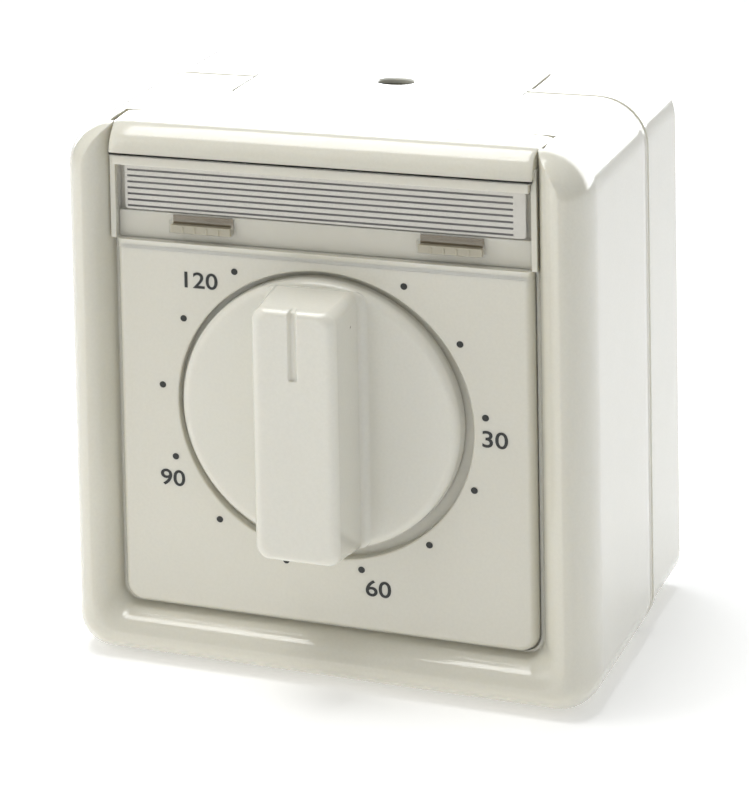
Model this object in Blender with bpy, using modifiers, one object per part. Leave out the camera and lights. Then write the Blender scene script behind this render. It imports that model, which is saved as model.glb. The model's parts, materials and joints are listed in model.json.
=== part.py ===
"""Surface-mounted mechanical run-down time switch, 0 to 120 minutes.

Metres, +Z up. The wall face is the plane y = 0, the front faces -Y, and +X is to the
right of someone who stands in front of it. The origin is the centre of the wall face.
"""

import math

import bmesh
import bpy
from mathutils import Matrix

MM = 0.001

# ---- driving dimensions ----
WIDTH = 66.0 * MM
HEIGHT = 71.2 * MM
SEAM_Y = -20.8 * MM  # where the hood meets the rear box
RAIL_FRONT_Y = -58.6 * MM
PLATE_FRONT_Y = -56.1 * MM
SEAT_Y = -53.4 * MM  # the hood's ledge that the plate and the label sit in front of
HOOD_WALL_BACK_Y = -52.0 * MM
DIAL_Z = -0.3 * MM  # height of the knob's axis
CORNER_R = 6.2 * MM
WALL = 2.0 * MM
GAP = 0.3 * MM  # between pieces that rest on each other
RUNNING_FIT = 0.06 * MM  # radial clearance of a turning shaft

# ---- front of the hood ----
SEAT_HALF_X = 26.4 * MM
SEAT_BOTTOM_Z = -28.8 * MM
RAIL_SLOPE = 0.9 * MM  # how far the rails' inner faces lean outwards, from plate to front
CAP_HALF_X = 26.6 * MM
CAP_BOTTOM_Z = 30.35 * MM
PLATE_TOP_Z = 19.7 * MM
CAP_REAR_Y = -47.2 * MM

# ---- label window ----
WINDOW_FRONT_Y = -56.3 * MM
WINDOW_THICK = 1.2 * MM
WINDOW_HINGE_Z = 29.6 * MM
WINDOW_BOTTOM_Z = 20.3 * MM
WINDOW_HALF_X = 26.0 * MM
CARD_HALF_X = 25.2 * MM
PRY_SLOT_CENTRES_X = (-14.95 * MM, 16.35 * MM)
PRY_SLOT_Z = 22.6 * MM

# ---- knob ----
DISC_BASE_R = 17.6 * MM
DISC_FACE_R = 17.0 * MM
DISC_BACK_Y = -55.5 * MM
DISC_FRONT_Y = -57.7 * MM
BAR_FRONT_Y = -68.3 * MM
BAR_HALF_X = 5.6 * MM
BAR_HALF_Z = 17.3 * MM  # at the disc
BAR_FRONT_HALF_Z = 16.6 * MM
HUB_R = 5.0 * MM
HUB_BACK_Y = -49.5 * MM
RECESS_R = 18.6 * MM
RECESS_DEPTH = 0.9 * MM

# ---- movement ----
SPINDLE_R = 3.0 * MM
SPINDLE_FLAT_X = 2.3 * MM
FRAME_FRONT_Y = -46.4 * MM
FRAME_THICK = 1.2 * MM
FRONT_PLATE_Y = (-44.5 * MM, -43.3 * MM)
REAR_PLATE_Y = (-25.0 * MM, -23.8 * MM)
PLATE_HALF_X = 21.0 * MM
PLATE_Z = (-20.0 * MM, 21.5 * MM)
ARBOR_R = 0.9 * MM
PIVOT_HOLE_R = ARBOR_R + RUNNING_FIT
PILLARS = {
    "pillar_upper_left": (-18.0 * MM, 18.0 * MM),
    "pillar_right": (18.5 * MM, -3.0 * MM),
    "pillar_lower": (3.0 * MM, -18.4 * MM),
}
PILLAR_R = 2.0 * MM
TENON_R = 1.1 * MM

# ---- gear train: teeth, module, and the level of each wheel along y ----
DRIVE_TEETH, SECOND_PINION_TEETH = 48, 12
SECOND_WHEEL_TEETH, THIRD_PINION_TEETH = 40, 10
THIRD_WHEEL_TEETH, ESCAPE_PINION_TEETH = 32, 10
ESCAPE_TEETH = 15
FIRST_MODULE = 0.6 * MM
LATER_MODULE = 0.5 * MM
ESCAPE_R = 5.0 * MM
MESH_EXTRA = 0.12 * MM  # added to each centre distance for free running
DRIVE_Y = (-39.4 * MM, -38.2 * MM)
SECOND_Y = (-30.6 * MM, -29.6 * MM)
THIRD_Y = (-28.4 * MM, -27.6 * MM)
ESCAPE_Y = (-26.6 * MM, -25.8 * MM)
PINION_OVERHANG = 0.4 * MM
SECOND_ANGLE = math.radians(42)  # of the second arbor about the spindle
ARBOR_RING_R = 17.5 * MM  # the later arbors stand on this circle, clear of the drive wheel
PALLET_DISTANCE = 8.6 * MM

# ---- switch ----
CAM_R = 9.0 * MM
CAM_Y = (-42.6 * MM, -40.6 * MM)
BLADE_THICK = 0.4 * MM
BLADE_Z = (-15.5 * MM, 2.6 * MM)
MOVING_BLADE_X = -10.6 * MM
FIXED_BLADE_X = -13.6 * MM
TIP_Z = 1.4 * MM
BLOCK_X = (-18.8 * MM, -8.2 * MM)
BLOCK_Z = (-19.8 * MM, -14.6 * MM)

# ---- cable entries ----
ENTRY_HALF_X = 17.7 * MM
ENTRY_Y = (-31.3 * MM, -6.3 * MM)
ENTRY_THICK = 2.1 * MM
CABLE_HOLE_Y = -18.7 * MM
TOP_HOLE_R = 3.0 * MM
BOTTOM_RING_R = 5.0 * MM

# ---- fixings ----
FRAME_POST_X = 25.0 * MM
FRAME_POST_R = 3.2 * MM
HOOD_POST = (22.0 * MM, 25.3 * MM)
HOOD_POST_R = 3.0 * MM
TERMINAL_X = (-9.0 * MM, 0.0, 9.0 * MM)
TERMINAL_Z = -28.0 * MM


# ---- scene, materials and basic shapes ----
def clear_scene():
    for item in list(bpy.data.objects):
        bpy.data.objects.remove(item, do_unlink=True)


def new_collection(name):
    group = bpy.data.collections.new(name)
    bpy.context.scene.collection.children.link(group)
    return group


def finish(name, colour, roughness, metallic=0.0, alpha=1.0):
    made = bpy.data.materials.new(name)
    made.use_nodes = True
    shader = made.node_tree.nodes["Principled BSDF"]
    shader.inputs["Base Color"].default_value = (*colour, 1.0)
    shader.inputs["Roughness"].default_value = roughness
    shader.inputs["Metallic"].default_value = metallic
    shader.inputs["Alpha"].default_value = alpha
    made.diffuse_color = (*colour, alpha)
    return made


def from_bmesh(name, bm, look=None, origin=(0, 0, 0)):
    """A new object from bm, whose points are in world space, with its origin at origin."""
    bmesh.ops.translate(bm, verts=bm.verts, vec=[-value for value in origin])
    bmesh.ops.recalc_face_normals(bm, faces=bm.faces)
    mesh = bpy.data.meshes.new(name)
    bm.to_mesh(mesh)
    bm.free()
    made = bpy.data.objects.new(name, mesh)
    made.location = origin
    if look is None:
        made.hide_render = True
        made.display_type = "WIRE"
        CUTTERS.objects.link(made)
    else:
        mesh.materials.append(look)
        PARTS.objects.link(made)
    return made


def block(name, x, y, z, look=None, round_y=0.0, round_front=0.0, steps=4, origin=(0, 0, 0)):
    """A box; round_y rounds its four edges along Y, round_front also its front rim."""
    bm = bmesh.new()
    bmesh.ops.create_cube(bm, size=1.0)
    for axis, (low, high) in enumerate((x, y, z)):
        for vert in bm.verts:
            vert.co[axis] = (low + high) / 2 + vert.co[axis] * (high - low)
    along_y = [e for e in bm.edges if abs(e.verts[0].co.y - e.verts[1].co.y) > 1e-6]
    front = [e for e in bm.edges if max(v.co.y for v in e.verts) < min(y) + 1e-6]
    radius = round_front or round_y
    edges = (along_y if radius else []) + (front if round_front else [])
    if edges:
        bmesh.ops.bevel(bm, geom=edges, offset=radius, segments=steps, profile=0.5, affect="EDGES")
    return from_bmesh(name, bm, look, origin)


def tapered(made, y, factor_x, factor_z, centre_z=0.0):
    """Scales made's cross-section from 1 at y[0] to the factors at y[1], about x = 0."""
    for vert in made.data.vertices:
        share = min(max((vert.co.y - y[0]) / (y[1] - y[0]), 0.0), 1.0)
        vert.co.x *= 1 + (factor_x - 1) * share
        vert.co.z = centre_z + (vert.co.z - centre_z) * (1 + (factor_z - 1) * share)
    return made


def rod(name, x, z, y, radius, look=None, front_radius=None, sides=32, flat=None):
    """A cylinder or cone along Y, its origin on its own axis; flat cuts a D at that offset."""
    length = y[1] - y[0]
    bm = bmesh.new()
    bmesh.ops.create_cone(
        bm,
        cap_ends=True,
        segments=sides,
        radius1=front_radius or radius,
        radius2=radius,
        depth=length,
        matrix=Matrix.Rotation(math.radians(-90), 4, "X"),
    )
    if flat is not None:
        for vert in bm.verts:
            vert.co.x = min(vert.co.x, flat)
    bmesh.ops.translate(bm, verts=bm.verts, vec=(x, (y[0] + y[1]) / 2, z))
    return from_bmesh(name, bm, look, (x, (y[0] + y[1]) / 2, z))


def turned(name, x, z, profile, look, sides=24):
    """A turned piece along Y. profile lists (y, radius) from the front end to the rear end."""
    bm = bmesh.new()
    front = profile[0][0]
    verts = [bm.verts.new((radius, 0.0, -(y - front))) for y, radius in profile]
    for first, second in zip(verts, verts[1:]):
        bm.edges.new((first, second))
    mesh = bpy.data.meshes.new(name)
    bm.to_mesh(mesh)
    bm.free()
    mesh.materials.append(look)
    made = bpy.data.objects.new(name, mesh)
    made.location = (x, front, z)
    made.rotation_euler = (math.radians(90), 0, 0)
    screw = made.modifiers.new("turn", "SCREW")
    screw.steps = screw.render_steps = sides
    screw.use_merge_vertices = True
    screw.merge_threshold = 1e-6
    PARTS.objects.link(made)
    return made


def flat(name, y, outlines, look, x=0.0, z=0.0):
    """A sheet piece facing -Y; each outline is a closed list of (x, z) about the origin (x, z)."""
    curve = bpy.data.curves.new(name, "CURVE")
    curve.dimensions = "2D"
    curve.fill_mode = "BOTH"
    curve.extrude = (y[1] - y[0]) / 2
    for outline in outlines:
        spline = curve.splines.new("POLY")
        spline.points.add(len(outline) - 1)
        for point, (px, pz) in zip(spline.points, outline):
            point.co = (px, pz, 0.0, 1.0)
        spline.use_cyclic_u = True
    curve.materials.append(look)
    made = bpy.data.objects.new(name, curve)
    made.location = (x, (y[0] + y[1]) / 2, z)
    made.rotation_euler = (math.radians(90), 0, 0)
    PARTS.objects.link(made)
    return made


def combine(target, tools, operation):
    for tool in tools:
        modifier = target.modifiers.new(tool.name, "BOOLEAN")
        modifier.operation = operation
        modifier.solver = "EXACT"
        modifier.object = tool


def cut(target, *tools):
    combine(target, tools, "DIFFERENCE")


def join(target, *tools):
    combine(target, tools, "UNION")


# ---- outlines in the (x, z) plane ----
def circle(radius, sides=32, x=0.0, z=0.0):
    turns = (2 * math.pi * i / sides for i in range(sides))
    return [(x + radius * math.cos(a), z + radius * math.sin(a)) for a in turns]


def rounded_rectangle(x, z, radius, steps=4):
    centres = (
        (x[1] - radius, z[1] - radius, 0),
        (x[0] + radius, z[1] - radius, 90),
        (x[0] + radius, z[0] + radius, 180),
        (x[1] - radius, z[0] + radius, 270),
    )
    points = []
    for cx, cz, start in centres:
        for i in range(steps + 1):
            a = math.radians(start + 90 * i / steps)
            points.append((cx + radius * math.cos(a), cz + radius * math.sin(a)))
    return points


def gear_outline(teeth, module, phase):
    """Teeth with straight flanks and backlash; one tooth's centre stands at angle phase."""
    pitch_r = teeth * module / 2
    corners = (
        (pitch_r - 1.25 * module, -0.31),
        (pitch_r + 0.75 * module, -0.10),
        (pitch_r + 0.75 * module, 0.10),
        (pitch_r - 1.25 * module, 0.31),
    )
    points = []
    for tooth in range(teeth):
        for radius, share in corners:
            a = phase + 2 * math.pi * (tooth + share) / teeth
            points.append((radius * math.cos(a), radius * math.sin(a)))
    return points


def meshed_phase(teeth, follower_teeth, phase, direction):
    """The follower's phase that puts a gap opposite the driver's tooth along direction."""
    driver_share = ((direction - phase) * teeth / (2 * math.pi)) % 1.0
    return direction + math.pi - 2 * math.pi * (0.5 - driver_share) / follower_teeth


def escape_outline(phase):
    """Pointed teeth that lean one way."""
    points = []
    for tooth in range(ESCAPE_TEETH):
        for radius, share in ((0.72, 0.0), (1.0, 0.45), (0.74, 0.55)):
            a = phase + 2 * math.pi * (tooth + share) / ESCAPE_TEETH
            points.append((ESCAPE_R * radius * math.cos(a), ESCAPE_R * radius * math.sin(a)))
    return points


def from_spindle(angle, distance):
    return (distance * math.cos(angle), DIAL_Z + distance * math.sin(angle))


def mesh_distance(module, teeth, other_teeth):
    return module * (teeth + other_teeth) / 2 + MESH_EXTRA


def next_angle(angle, ring_r, other_ring_r, distance):
    """The angle about the spindle of a point on other_ring_r that far from one on ring_r."""
    share = (ring_r**2 + other_ring_r**2 - distance**2) / (2 * ring_r * other_ring_r)
    return angle + math.acos(share)


def direction(start, end):
    return math.atan2(end[1] - start[1], end[0] - start[0])


# ---- places of the arbors ----
def place_arbors():
    second_r = mesh_distance(FIRST_MODULE, DRIVE_TEETH, SECOND_PINION_TEETH)
    to_third = mesh_distance(LATER_MODULE, SECOND_WHEEL_TEETH, THIRD_PINION_TEETH)
    to_escape = mesh_distance(LATER_MODULE, THIRD_WHEEL_TEETH, ESCAPE_PINION_TEETH)
    third = next_angle(SECOND_ANGLE, second_r, ARBOR_RING_R, to_third)
    escape = next_angle(third, ARBOR_RING_R, ARBOR_RING_R, to_escape)
    pallet = next_angle(escape, ARBOR_RING_R, ARBOR_RING_R, PALLET_DISTANCE)
    return {
        "second": from_spindle(SECOND_ANGLE, second_r),
        "third": from_spindle(third, ARBOR_RING_R),
        "escape": from_spindle(escape, ARBOR_RING_R),
        "pallet": from_spindle(pallet, ARBOR_RING_R),
    }


SPINDLE_AT = (0.0, DIAL_Z)
ARBORS = place_arbors()


# ---- housing ----
def make_rear_box(look):
    """Open-fronted box with posts for the frame and hood screws, and two wall-fixing holes."""
    half_x, half_z = WIDTH / 2 - 0.3 * MM, HEIGHT / 2 - 0.3 * MM
    box = block(
        "rear_box",
        (-half_x, half_x),
        (SEAM_Y + GAP, 0.0),
        (-half_z, half_z),
        look,
        round_y=CORNER_R,
    )
    cavity = block(
        "rear_cavity",
        (-half_x + WALL, half_x - WALL),
        (SEAM_Y - 5 * MM, -2.2 * MM),
        (-half_z + WALL, half_z - WALL),
        round_y=CORNER_R - WALL,
    )
    cut(box, cavity)
    for side in (-1, 1):
        top_entry = block(
            f"entry_notch_{side}",
            (-18.0 * MM, 18.0 * MM),
            (SEAM_Y - 5 * MM, -6.0 * MM),
            sorted((side * 32.0 * MM, side * 40.0 * MM)),
        )
        fixing = rod(
            f"wall_fixing_{side}", 0.0, side * 24.0 * MM, (-5 * MM, 5 * MM), 2.3 * MM
        )
        cut(box, top_entry, fixing)
        frame_post = rod(
            f"frame_post_{side}",
            side * FRAME_POST_X,
            DIAL_Z,
            (FRAME_FRONT_Y + FRAME_THICK + GAP, -1.0 * MM),
            FRAME_POST_R,
        )
        hood_post = rod(
            f"hood_post_{side}",
            side * HOOD_POST[0],
            HOOD_POST[1],
            (HOOD_WALL_BACK_Y + GAP, -1.0 * MM),
            HOOD_POST_R,
        )
        join(box, frame_post, hood_post)
        frame_bore = rod(
            f"frame_bore_{side}", side * FRAME_POST_X, DIAL_Z, (-60 * MM, -33 * MM), 1.6 * MM
        )
        hood_bore = rod(
            f"hood_bore_{side}",
            side * HOOD_POST[0],
            HOOD_POST[1],
            (-60 * MM, -38 * MM),
            1.5 * MM,
        )
        cut(box, frame_bore, hood_bore)
    return box


def make_housing_seals(look):
    """Two C-shaped rubber strips inside the joint, from one cable entry round to the other."""
    radius, width, end_x = 4.0 * MM, 1.0 * MM, 18.6 * MM
    half_x, half_z = 30.2 * MM, 32.8 * MM
    steps = 4

    def half_ring(side, inset):
        points = [(side * end_x, half_z - inset)]
        for upward, angles in ((1, range(steps, -1, -1)), (-1, range(steps + 1))):
            for i in angles:
                a = math.radians(90 * i / steps)
                x = half_x - radius + (radius - inset) * math.cos(a)
                z = half_z - radius + (radius - inset) * math.sin(a)
                points.append((side * x, upward * z))
        return points + [(side * end_x, inset - half_z)]

    for word, side in (("left", -1), ("right", 1)):
        outline = half_ring(side, 0.0) + list(reversed(half_ring(side, width)))
        flat(f"housing_seal_{word}", (SEAM_Y - 1.2 * MM, SEAM_Y + 1.8 * MM), (outline,), look)


def make_front_hood(look):
    """Deep cover with thick front rails, a seat for the plate and label, and a cap notch."""
    half_x, half_z = WIDTH / 2, HEIGHT / 2
    hood = block(
        "front_hood",
        (-half_x, half_x),
        (RAIL_FRONT_Y, SEAM_Y),
        (-half_z, half_z),
        look,
        round_front=CORNER_R,
        steps=5,
    )
    cavity = block(
        "hood_cavity",
        (-half_x + WALL, half_x - WALL),
        (HOOD_WALL_BACK_Y, SEAM_Y + 5 * MM),
        (-half_z + WALL, half_z - WALL),
        round_y=CORNER_R - WALL,
    )
    front = RAIL_FRONT_Y - 5 * MM
    seat = block(
        "hood_seat",
        (-SEAT_HALF_X, SEAT_HALF_X),
        (front, SEAT_Y),
        (SEAT_BOTTOM_Z, 40.0 * MM),
        round_y=1.6 * MM,
        steps=2,
    )
    sloped = block(
        "rail_slopes",
        (-SEAT_HALF_X, SEAT_HALF_X),
        (RAIL_FRONT_Y, PLATE_FRONT_Y),
        (SEAT_BOTTOM_Z, -SEAT_BOTTOM_Z),
        round_y=1.6 * MM,
        steps=2,
    )
    lean_x = 1 + RAIL_SLOPE / SEAT_HALF_X
    lean_z = 1 - RAIL_SLOPE / SEAT_BOTTOM_Z
    tapered(sloped, (PLATE_FRONT_Y, RAIL_FRONT_Y), lean_x, lean_z)
    for vert in sloped.data.vertices:
        if vert.co.z > 0:
            vert.co.z = 40.0 * MM
    cap_notch = block(
        "cap_notch",
        (-CAP_HALF_X - 0.15 * MM, CAP_HALF_X + 0.15 * MM),
        (front, CAP_REAR_Y + GAP),
        (CAP_BOTTOM_Z - 0.15 * MM, 40.0 * MM),
    )
    opening = block(
        "hood_opening", (-22.5 * MM, 22.5 * MM), (front, -40 * MM), (-24.5 * MM, 17.0 * MM)
    )
    cut(hood, cavity, seat, sloped, cap_notch, opening)
    for side in (-1, 1):
        entry = block(
            f"hood_entry_{side}",
            (-18.0 * MM, 18.0 * MM),
            (-31.6 * MM, SEAM_Y + 5 * MM),
            sorted((side * 32.0 * MM, side * 40.0 * MM)),
        )
        x = side * HOOD_POST[0]
        hole = rod(f"hood_hole_{side}", x, HOOD_POST[1], (front, -45 * MM), 1.7 * MM)
        sink = rod(f"hood_sink_{side}", x, HOOD_POST[1], (front, -52.8 * MM), 3.1 * MM)
        cut(hood, entry, hole, sink)
    return hood


def make_cable_entry(name, side, hole_radius, look):
    """Slide-in entry across the seam, with a moulded ring round the cable's place."""
    outer_z, inner_z = side * HEIGHT / 2, side * (HEIGHT / 2 - ENTRY_THICK)
    entry = block(
        name,
        (-ENTRY_HALF_X, ENTRY_HALF_X),
        ENTRY_Y,
        sorted((inner_z, outer_z)),
        look,
    )
    bm = bmesh.new()
    bmesh.ops.create_cone(
        bm,
        cap_ends=True,
        segments=48,
        radius1=hole_radius,
        radius2=hole_radius,
        depth=8 * MM if side > 0 else 1.6 * MM,
    )
    bmesh.ops.translate(bm, verts=bm.verts, vec=(0, CABLE_HOLE_Y, outer_z))
    cut(entry, from_bmesh(f"{name}_hole", bm))
    return entry


def make_label_cap(look):
    """L-shaped strip between the rails that turns from the front onto the top."""
    top, inner_top = HEIGHT / 2, HEIGHT / 2 - WALL
    front, inner_front = -57.6 * MM, -55.6 * MM
    bend, inner_bend = 4.0 * MM, 2.0 * MM
    steps = 6
    turns = [math.radians(90 * i / steps) for i in range(steps + 1)]
    outer = [
        (front + bend - bend * math.cos(a), top - bend + bend * math.sin(a)) for a in turns
    ]
    inner = [
        (
            inner_front + inner_bend - inner_bend * math.cos(a),
            inner_top - inner_bend + inner_bend * math.sin(a),
        )
        for a in reversed(turns)
    ]
    outline = [(front, CAP_BOTTOM_Z)] + outer + [(CAP_REAR_Y, top), (CAP_REAR_Y, inner_top)]
    outline += inner + [(inner_front, CAP_BOTTOM_Z)]
    cap = flat("label_cap", (-CAP_HALF_X, CAP_HALF_X), ([(y, z) for y, z in outline],), look)
    cap.location = (0, 0, 0)
    cap.rotation_euler = (math.radians(90), 0, math.radians(90))
    return cap


def make_label_window(look):
    """Clear cover, hinged in its rounded top edge, with two pry slots and two snap lugs."""
    hinge = (0.0, WINDOW_FRONT_Y + WINDOW_THICK / 2, WINDOW_HINGE_Z)
    back = WINDOW_FRONT_Y + WINDOW_THICK
    bm = bmesh.new()
    bmesh.ops.create_cube(bm, size=1.0)
    spans = (
        (-WINDOW_HALF_X, WINDOW_HALF_X),
        (WINDOW_FRONT_Y, back),
        (WINDOW_BOTTOM_Z, WINDOW_HINGE_Z + WINDOW_THICK / 2),
    )
    for axis, (low, high) in enumerate(spans):
        for vert in bm.verts:
            vert.co[axis] = (low + high) / 2 + vert.co[axis] * (high - low)
    top = [e for e in bm.edges if min(v.co.z for v in e.verts) > WINDOW_HINGE_Z]
    long_top = [e for e in top if abs(e.verts[0].co.x - e.verts[1].co.x) > 1e-4]
    bmesh.ops.bevel(
        bm, geom=long_top, offset=0.49 * WINDOW_THICK, segments=4, profile=0.5, affect="EDGES"
    )
    window = from_bmesh("label_window", bm, look, hinge)
    for index, x in enumerate(PRY_SLOT_CENTRES_X):
        lug = block(
            f"snap_lug_{index}",
            (x - 2.5 * MM, x + 2.5 * MM),
            (back - 0.3 * MM, back + 0.7 * MM),
            (WINDOW_BOTTOM_Z + 0.2 * MM, WINDOW_BOTTOM_Z + 1.2 * MM),
        )
        slot = block(
            f"pry_slot_{index}",
            (x - 3.9 * MM, x + 3.9 * MM),
            (WINDOW_FRONT_Y - 2 * MM, back + 2 * MM),
            (PRY_SLOT_Z - 0.5 * MM, PRY_SLOT_Z + 0.5 * MM),
        )
        join(window, lug)
        cut(window, slot)
    return window


def make_label_card(look):
    outline = rounded_rectangle((-CARD_HALF_X, CARD_HALF_X), (24.0 * MM, 30.0 * MM), 0.4 * MM, 1)
    return flat("label_card", (-54.7 * MM, -54.5 * MM), (outline,), look)


def make_dial_plate(look):
    """Square plate with a shallow round recess for the knob's disc."""
    plate = block(
        "dial_plate",
        (-SEAT_HALF_X + 0.2 * MM, SEAT_HALF_X - 0.2 * MM),
        (PLATE_FRONT_Y, SEAT_Y - GAP),
        (SEAT_BOTTOM_Z + 0.2 * MM, PLATE_TOP_Z),
        look,
        round_y=1.4 * MM,
        steps=2,
    )
    front = PLATE_FRONT_Y - 5 * MM
    recess = rod(
        "dial_recess",
        *SPINDLE_AT,
        (front, PLATE_FRONT_Y + RECESS_DEPTH),
        RECESS_R,
        sides=64,
    )
    hole = rod("dial_hole", *SPINDLE_AT, (front, -45 * MM), HUB_R + 0.4 * MM)
    cut(plate, recess, hole)
    return plate


# ---- knob ----
def make_knob(look):
    """Disc with a bar handle, hollow from behind, and a hub with a D-shaped bore."""
    knob = rod(
        "knob",
        *SPINDLE_AT,
        (DISC_FRONT_Y, DISC_BACK_Y),
        DISC_BASE_R,
        look,
        front_radius=DISC_FACE_R,
        sides=64,
    )
    bar_z = (DIAL_Z - BAR_HALF_Z, DIAL_Z + BAR_HALF_Z)
    bar_x = (-BAR_HALF_X, BAR_HALF_X)
    bar_y = (BAR_FRONT_Y, DISC_FRONT_Y + 1.0 * MM)
    bar = block("knob_bar", bar_x, bar_y, bar_z, round_front=1.3 * MM)
    tapered(bar, (DISC_FRONT_Y, BAR_FRONT_Y), 1.0, BAR_FRONT_HALF_Z / BAR_HALF_Z, DIAL_Z)
    hub = rod("knob_hub", *SPINDLE_AT, (DISC_FRONT_Y, HUB_BACK_Y), HUB_R)
    join(knob, bar, hub)
    for side in (-1, 1):
        pocket = block(
            f"knob_pocket_{side}",
            (-3.8 * MM, 3.8 * MM),
            (BAR_FRONT_Y + 2.0 * MM, -50 * MM),
            sorted((DIAL_Z + side * 6.3 * MM, DIAL_Z + side * 15.0 * MM)),
        )
        cut(knob, pocket)
    groove = block(
        "pointer_groove",
        (-0.7 * MM, 0.7 * MM),
        (BAR_FRONT_Y - 2 * MM, BAR_FRONT_Y + 0.9 * MM),
        (DIAL_Z + 7.1 * MM, DIAL_Z + 25 * MM),
    )
    bore = rod(
        "knob_bore",
        *SPINDLE_AT,
        (-62.0 * MM, -45 * MM),
        SPINDLE_R + 0.08 * MM,
        sides=64,
        flat=SPINDLE_FLAT_X + 0.15 * MM,
    )
    clip_seat = rod("clip_seat", *SPINDLE_AT, (-54.0 * MM, -45 * MM), 4.1 * MM)
    cut(knob, groove, bore, clip_seat)
    return knob


def make_knob_clip(look):
    """Open steel ring that grips the spindle inside the hub."""
    opening = math.radians(30)
    sides = 24
    sweep = [opening + (2 * math.pi - 2 * opening) * i / sides for i in range(sides + 1)]
    outer = [(3.95 * MM * math.cos(a), 3.95 * MM * math.sin(a)) for a in sweep]
    inner = [(3.2 * MM * math.cos(a), 3.2 * MM * math.sin(a)) for a in reversed(sweep)]
    return flat("knob_clip", (-53.6 * MM, -50.4 * MM), (outer + inner,), look, *SPINDLE_AT)


# ---- frame and screws ----
def make_support_frame(look):
    outline = rounded_rectangle((-28.5 * MM, 28.5 * MM), (-31.8 * MM, 21.6 * MM), 3.0 * MM)
    holes = [circle(12.0 * MM, 40, *SPINDLE_AT)]
    holes += [circle(1.8 * MM, 16, side * FRAME_POST_X, DIAL_Z) for side in (-1, 1)]
    holes += [circle(2.4 * MM, 16, x, TERMINAL_Z) for x in TERMINAL_X]
    thickness = (FRAME_FRONT_Y, FRAME_FRONT_Y + FRAME_THICK)
    return flat("support_frame", thickness, (outline, *holes), look)


def make_screw(name, x, z, under_head_y, head_r, head_h, shank_r, length, look):
    """Slotted cheese-head screw that points into +Y."""
    top = under_head_y - head_h
    profile = (
        (top, 0.0),
        (top, head_r - 0.2 * MM),
        (top + 0.2 * MM, head_r),
        (under_head_y, head_r),
        (under_head_y, shank_r),
        (under_head_y + length - shank_r, shank_r),
        (under_head_y + length, 0.0),
    )
    screw = turned(name, x, z, profile, look, sides=20)
    slot = block(
        f"{name}_slot",
        (x - head_r - 1 * MM, x + head_r + 1 * MM),
        (top - 1 * MM, top + head_h * 0.45),
        (z - 0.4 * MM, z + 0.4 * MM),
    )
    cut(screw, slot)
    return screw


def make_fixing_screws(look):
    for word, side in (("left", -1), ("right", 1)):
        make_screw(
            f"frame_screw_{word}",
            side * FRAME_POST_X,
            DIAL_Z,
            FRAME_FRONT_Y - 0.1 * MM,
            3.0 * MM,
            1.6 * MM,
            1.45 * MM,
            10 * MM,
            look,
        )
        make_screw(
            f"hood_screw_{word}",
            side * HOOD_POST[0],
            HOOD_POST[1],
            -52.9 * MM,
            2.9 * MM,
            1.2 * MM,
            1.35 * MM,
            11 * MM,
            look,
        )


# ---- movement ----
def plate_holes(spindle_hole_r):
    holes = [circle(spindle_hole_r, 32, *SPINDLE_AT)]
    holes += [circle(PIVOT_HOLE_R, 16, *at) for at in ARBORS.values()]
    holes += [circle(TENON_R + 0.05 * MM, 16, *at) for at in PILLARS.values()]
    return holes


def make_movement_plates(look):
    outline = rounded_rectangle((-PLATE_HALF_X, PLATE_HALF_X), PLATE_Z, 2.5 * MM)
    flat("movement_front_plate", FRONT_PLATE_Y, (outline, *plate_holes(4.9 * MM)), look)
    rear_hole = 1.5 * MM + RUNNING_FIT
    flat("movement_rear_plate", REAR_PLATE_Y, (outline, *plate_holes(rear_hole)), look)


def make_pillars(look):
    for name, at in PILLARS.items():
        profile = (
            (FRONT_PLATE_Y[0] - 0.3 * MM, 0.0),
            (FRONT_PLATE_Y[0] - 0.3 * MM, TENON_R),
            (FRONT_PLATE_Y[1] + 0.05 * MM, TENON_R),
            (FRONT_PLATE_Y[1] + 0.05 * MM, PILLAR_R),
            (REAR_PLATE_Y[0] - 0.05 * MM, PILLAR_R),
            (REAR_PLATE_Y[0] - 0.05 * MM, TENON_R),
            (REAR_PLATE_Y[1] + 0.3 * MM, TENON_R),
            (REAR_PLATE_Y[1] + 0.3 * MM, 0.0),
        )
        turned(name, *at, profile, look, sides=16)


def make_spindle_bush(look):
    """Brass bearing of the spindle, flanged behind the front plate's hole."""
    outer, inner = 4.85 * MM, SPINDLE_R + RUNNING_FIT
    rings = (circle(outer, 32), circle(inner, 32))
    return flat("spindle_bush", (-45.6 * MM, -43.2 * MM), rings, look, *SPINDLE_AT)


def make_main_spindle(look):
    """Stepped steel shaft; its front end is D-shaped for the knob."""
    profile = (
        (-61.6 * MM, 0.0),
        (-61.6 * MM, SPINDLE_R - 0.4 * MM),
        (-61.2 * MM, SPINDLE_R),
        (-25.4 * MM, SPINDLE_R),
        (-25.4 * MM, 1.5 * MM),
        (-23.2 * MM, 1.5 * MM),
        (-23.2 * MM, 0.0),
    )
    spindle = turned("main_spindle", *SPINDLE_AT, profile, look, sides=32)
    flat_cut = block(
        "spindle_flat",
        (SPINDLE_FLAT_X, SPINDLE_FLAT_X + 3 * MM),
        (-65 * MM, -49 * MM),
        (DIAL_Z - 4 * MM, DIAL_Z + 4 * MM),
    )
    cut(spindle, flat_cut)
    return spindle


def make_cam_disc(look):
    """Round cam with one notch, which faces the contact at the off position."""
    notch = math.radians(12)
    sides = 60
    sweep = [math.pi + notch + (2 * math.pi - 2 * notch) * i / sides for i in range(sides + 1)]
    edge = [(CAM_R * math.cos(a), CAM_R * math.sin(a)) for a in sweep]
    floor_r = CAM_R - 1.2 * MM
    floor = [(floor_r * math.cos(a), floor_r * math.sin(a)) for a in (math.pi - 0.08, math.pi + 0.08)]
    hole = circle(SPINDLE_R + 0.03 * MM, 32)
    return flat("cam_disc", CAM_Y, (edge + floor, hole), look, *SPINDLE_AT)


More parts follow.
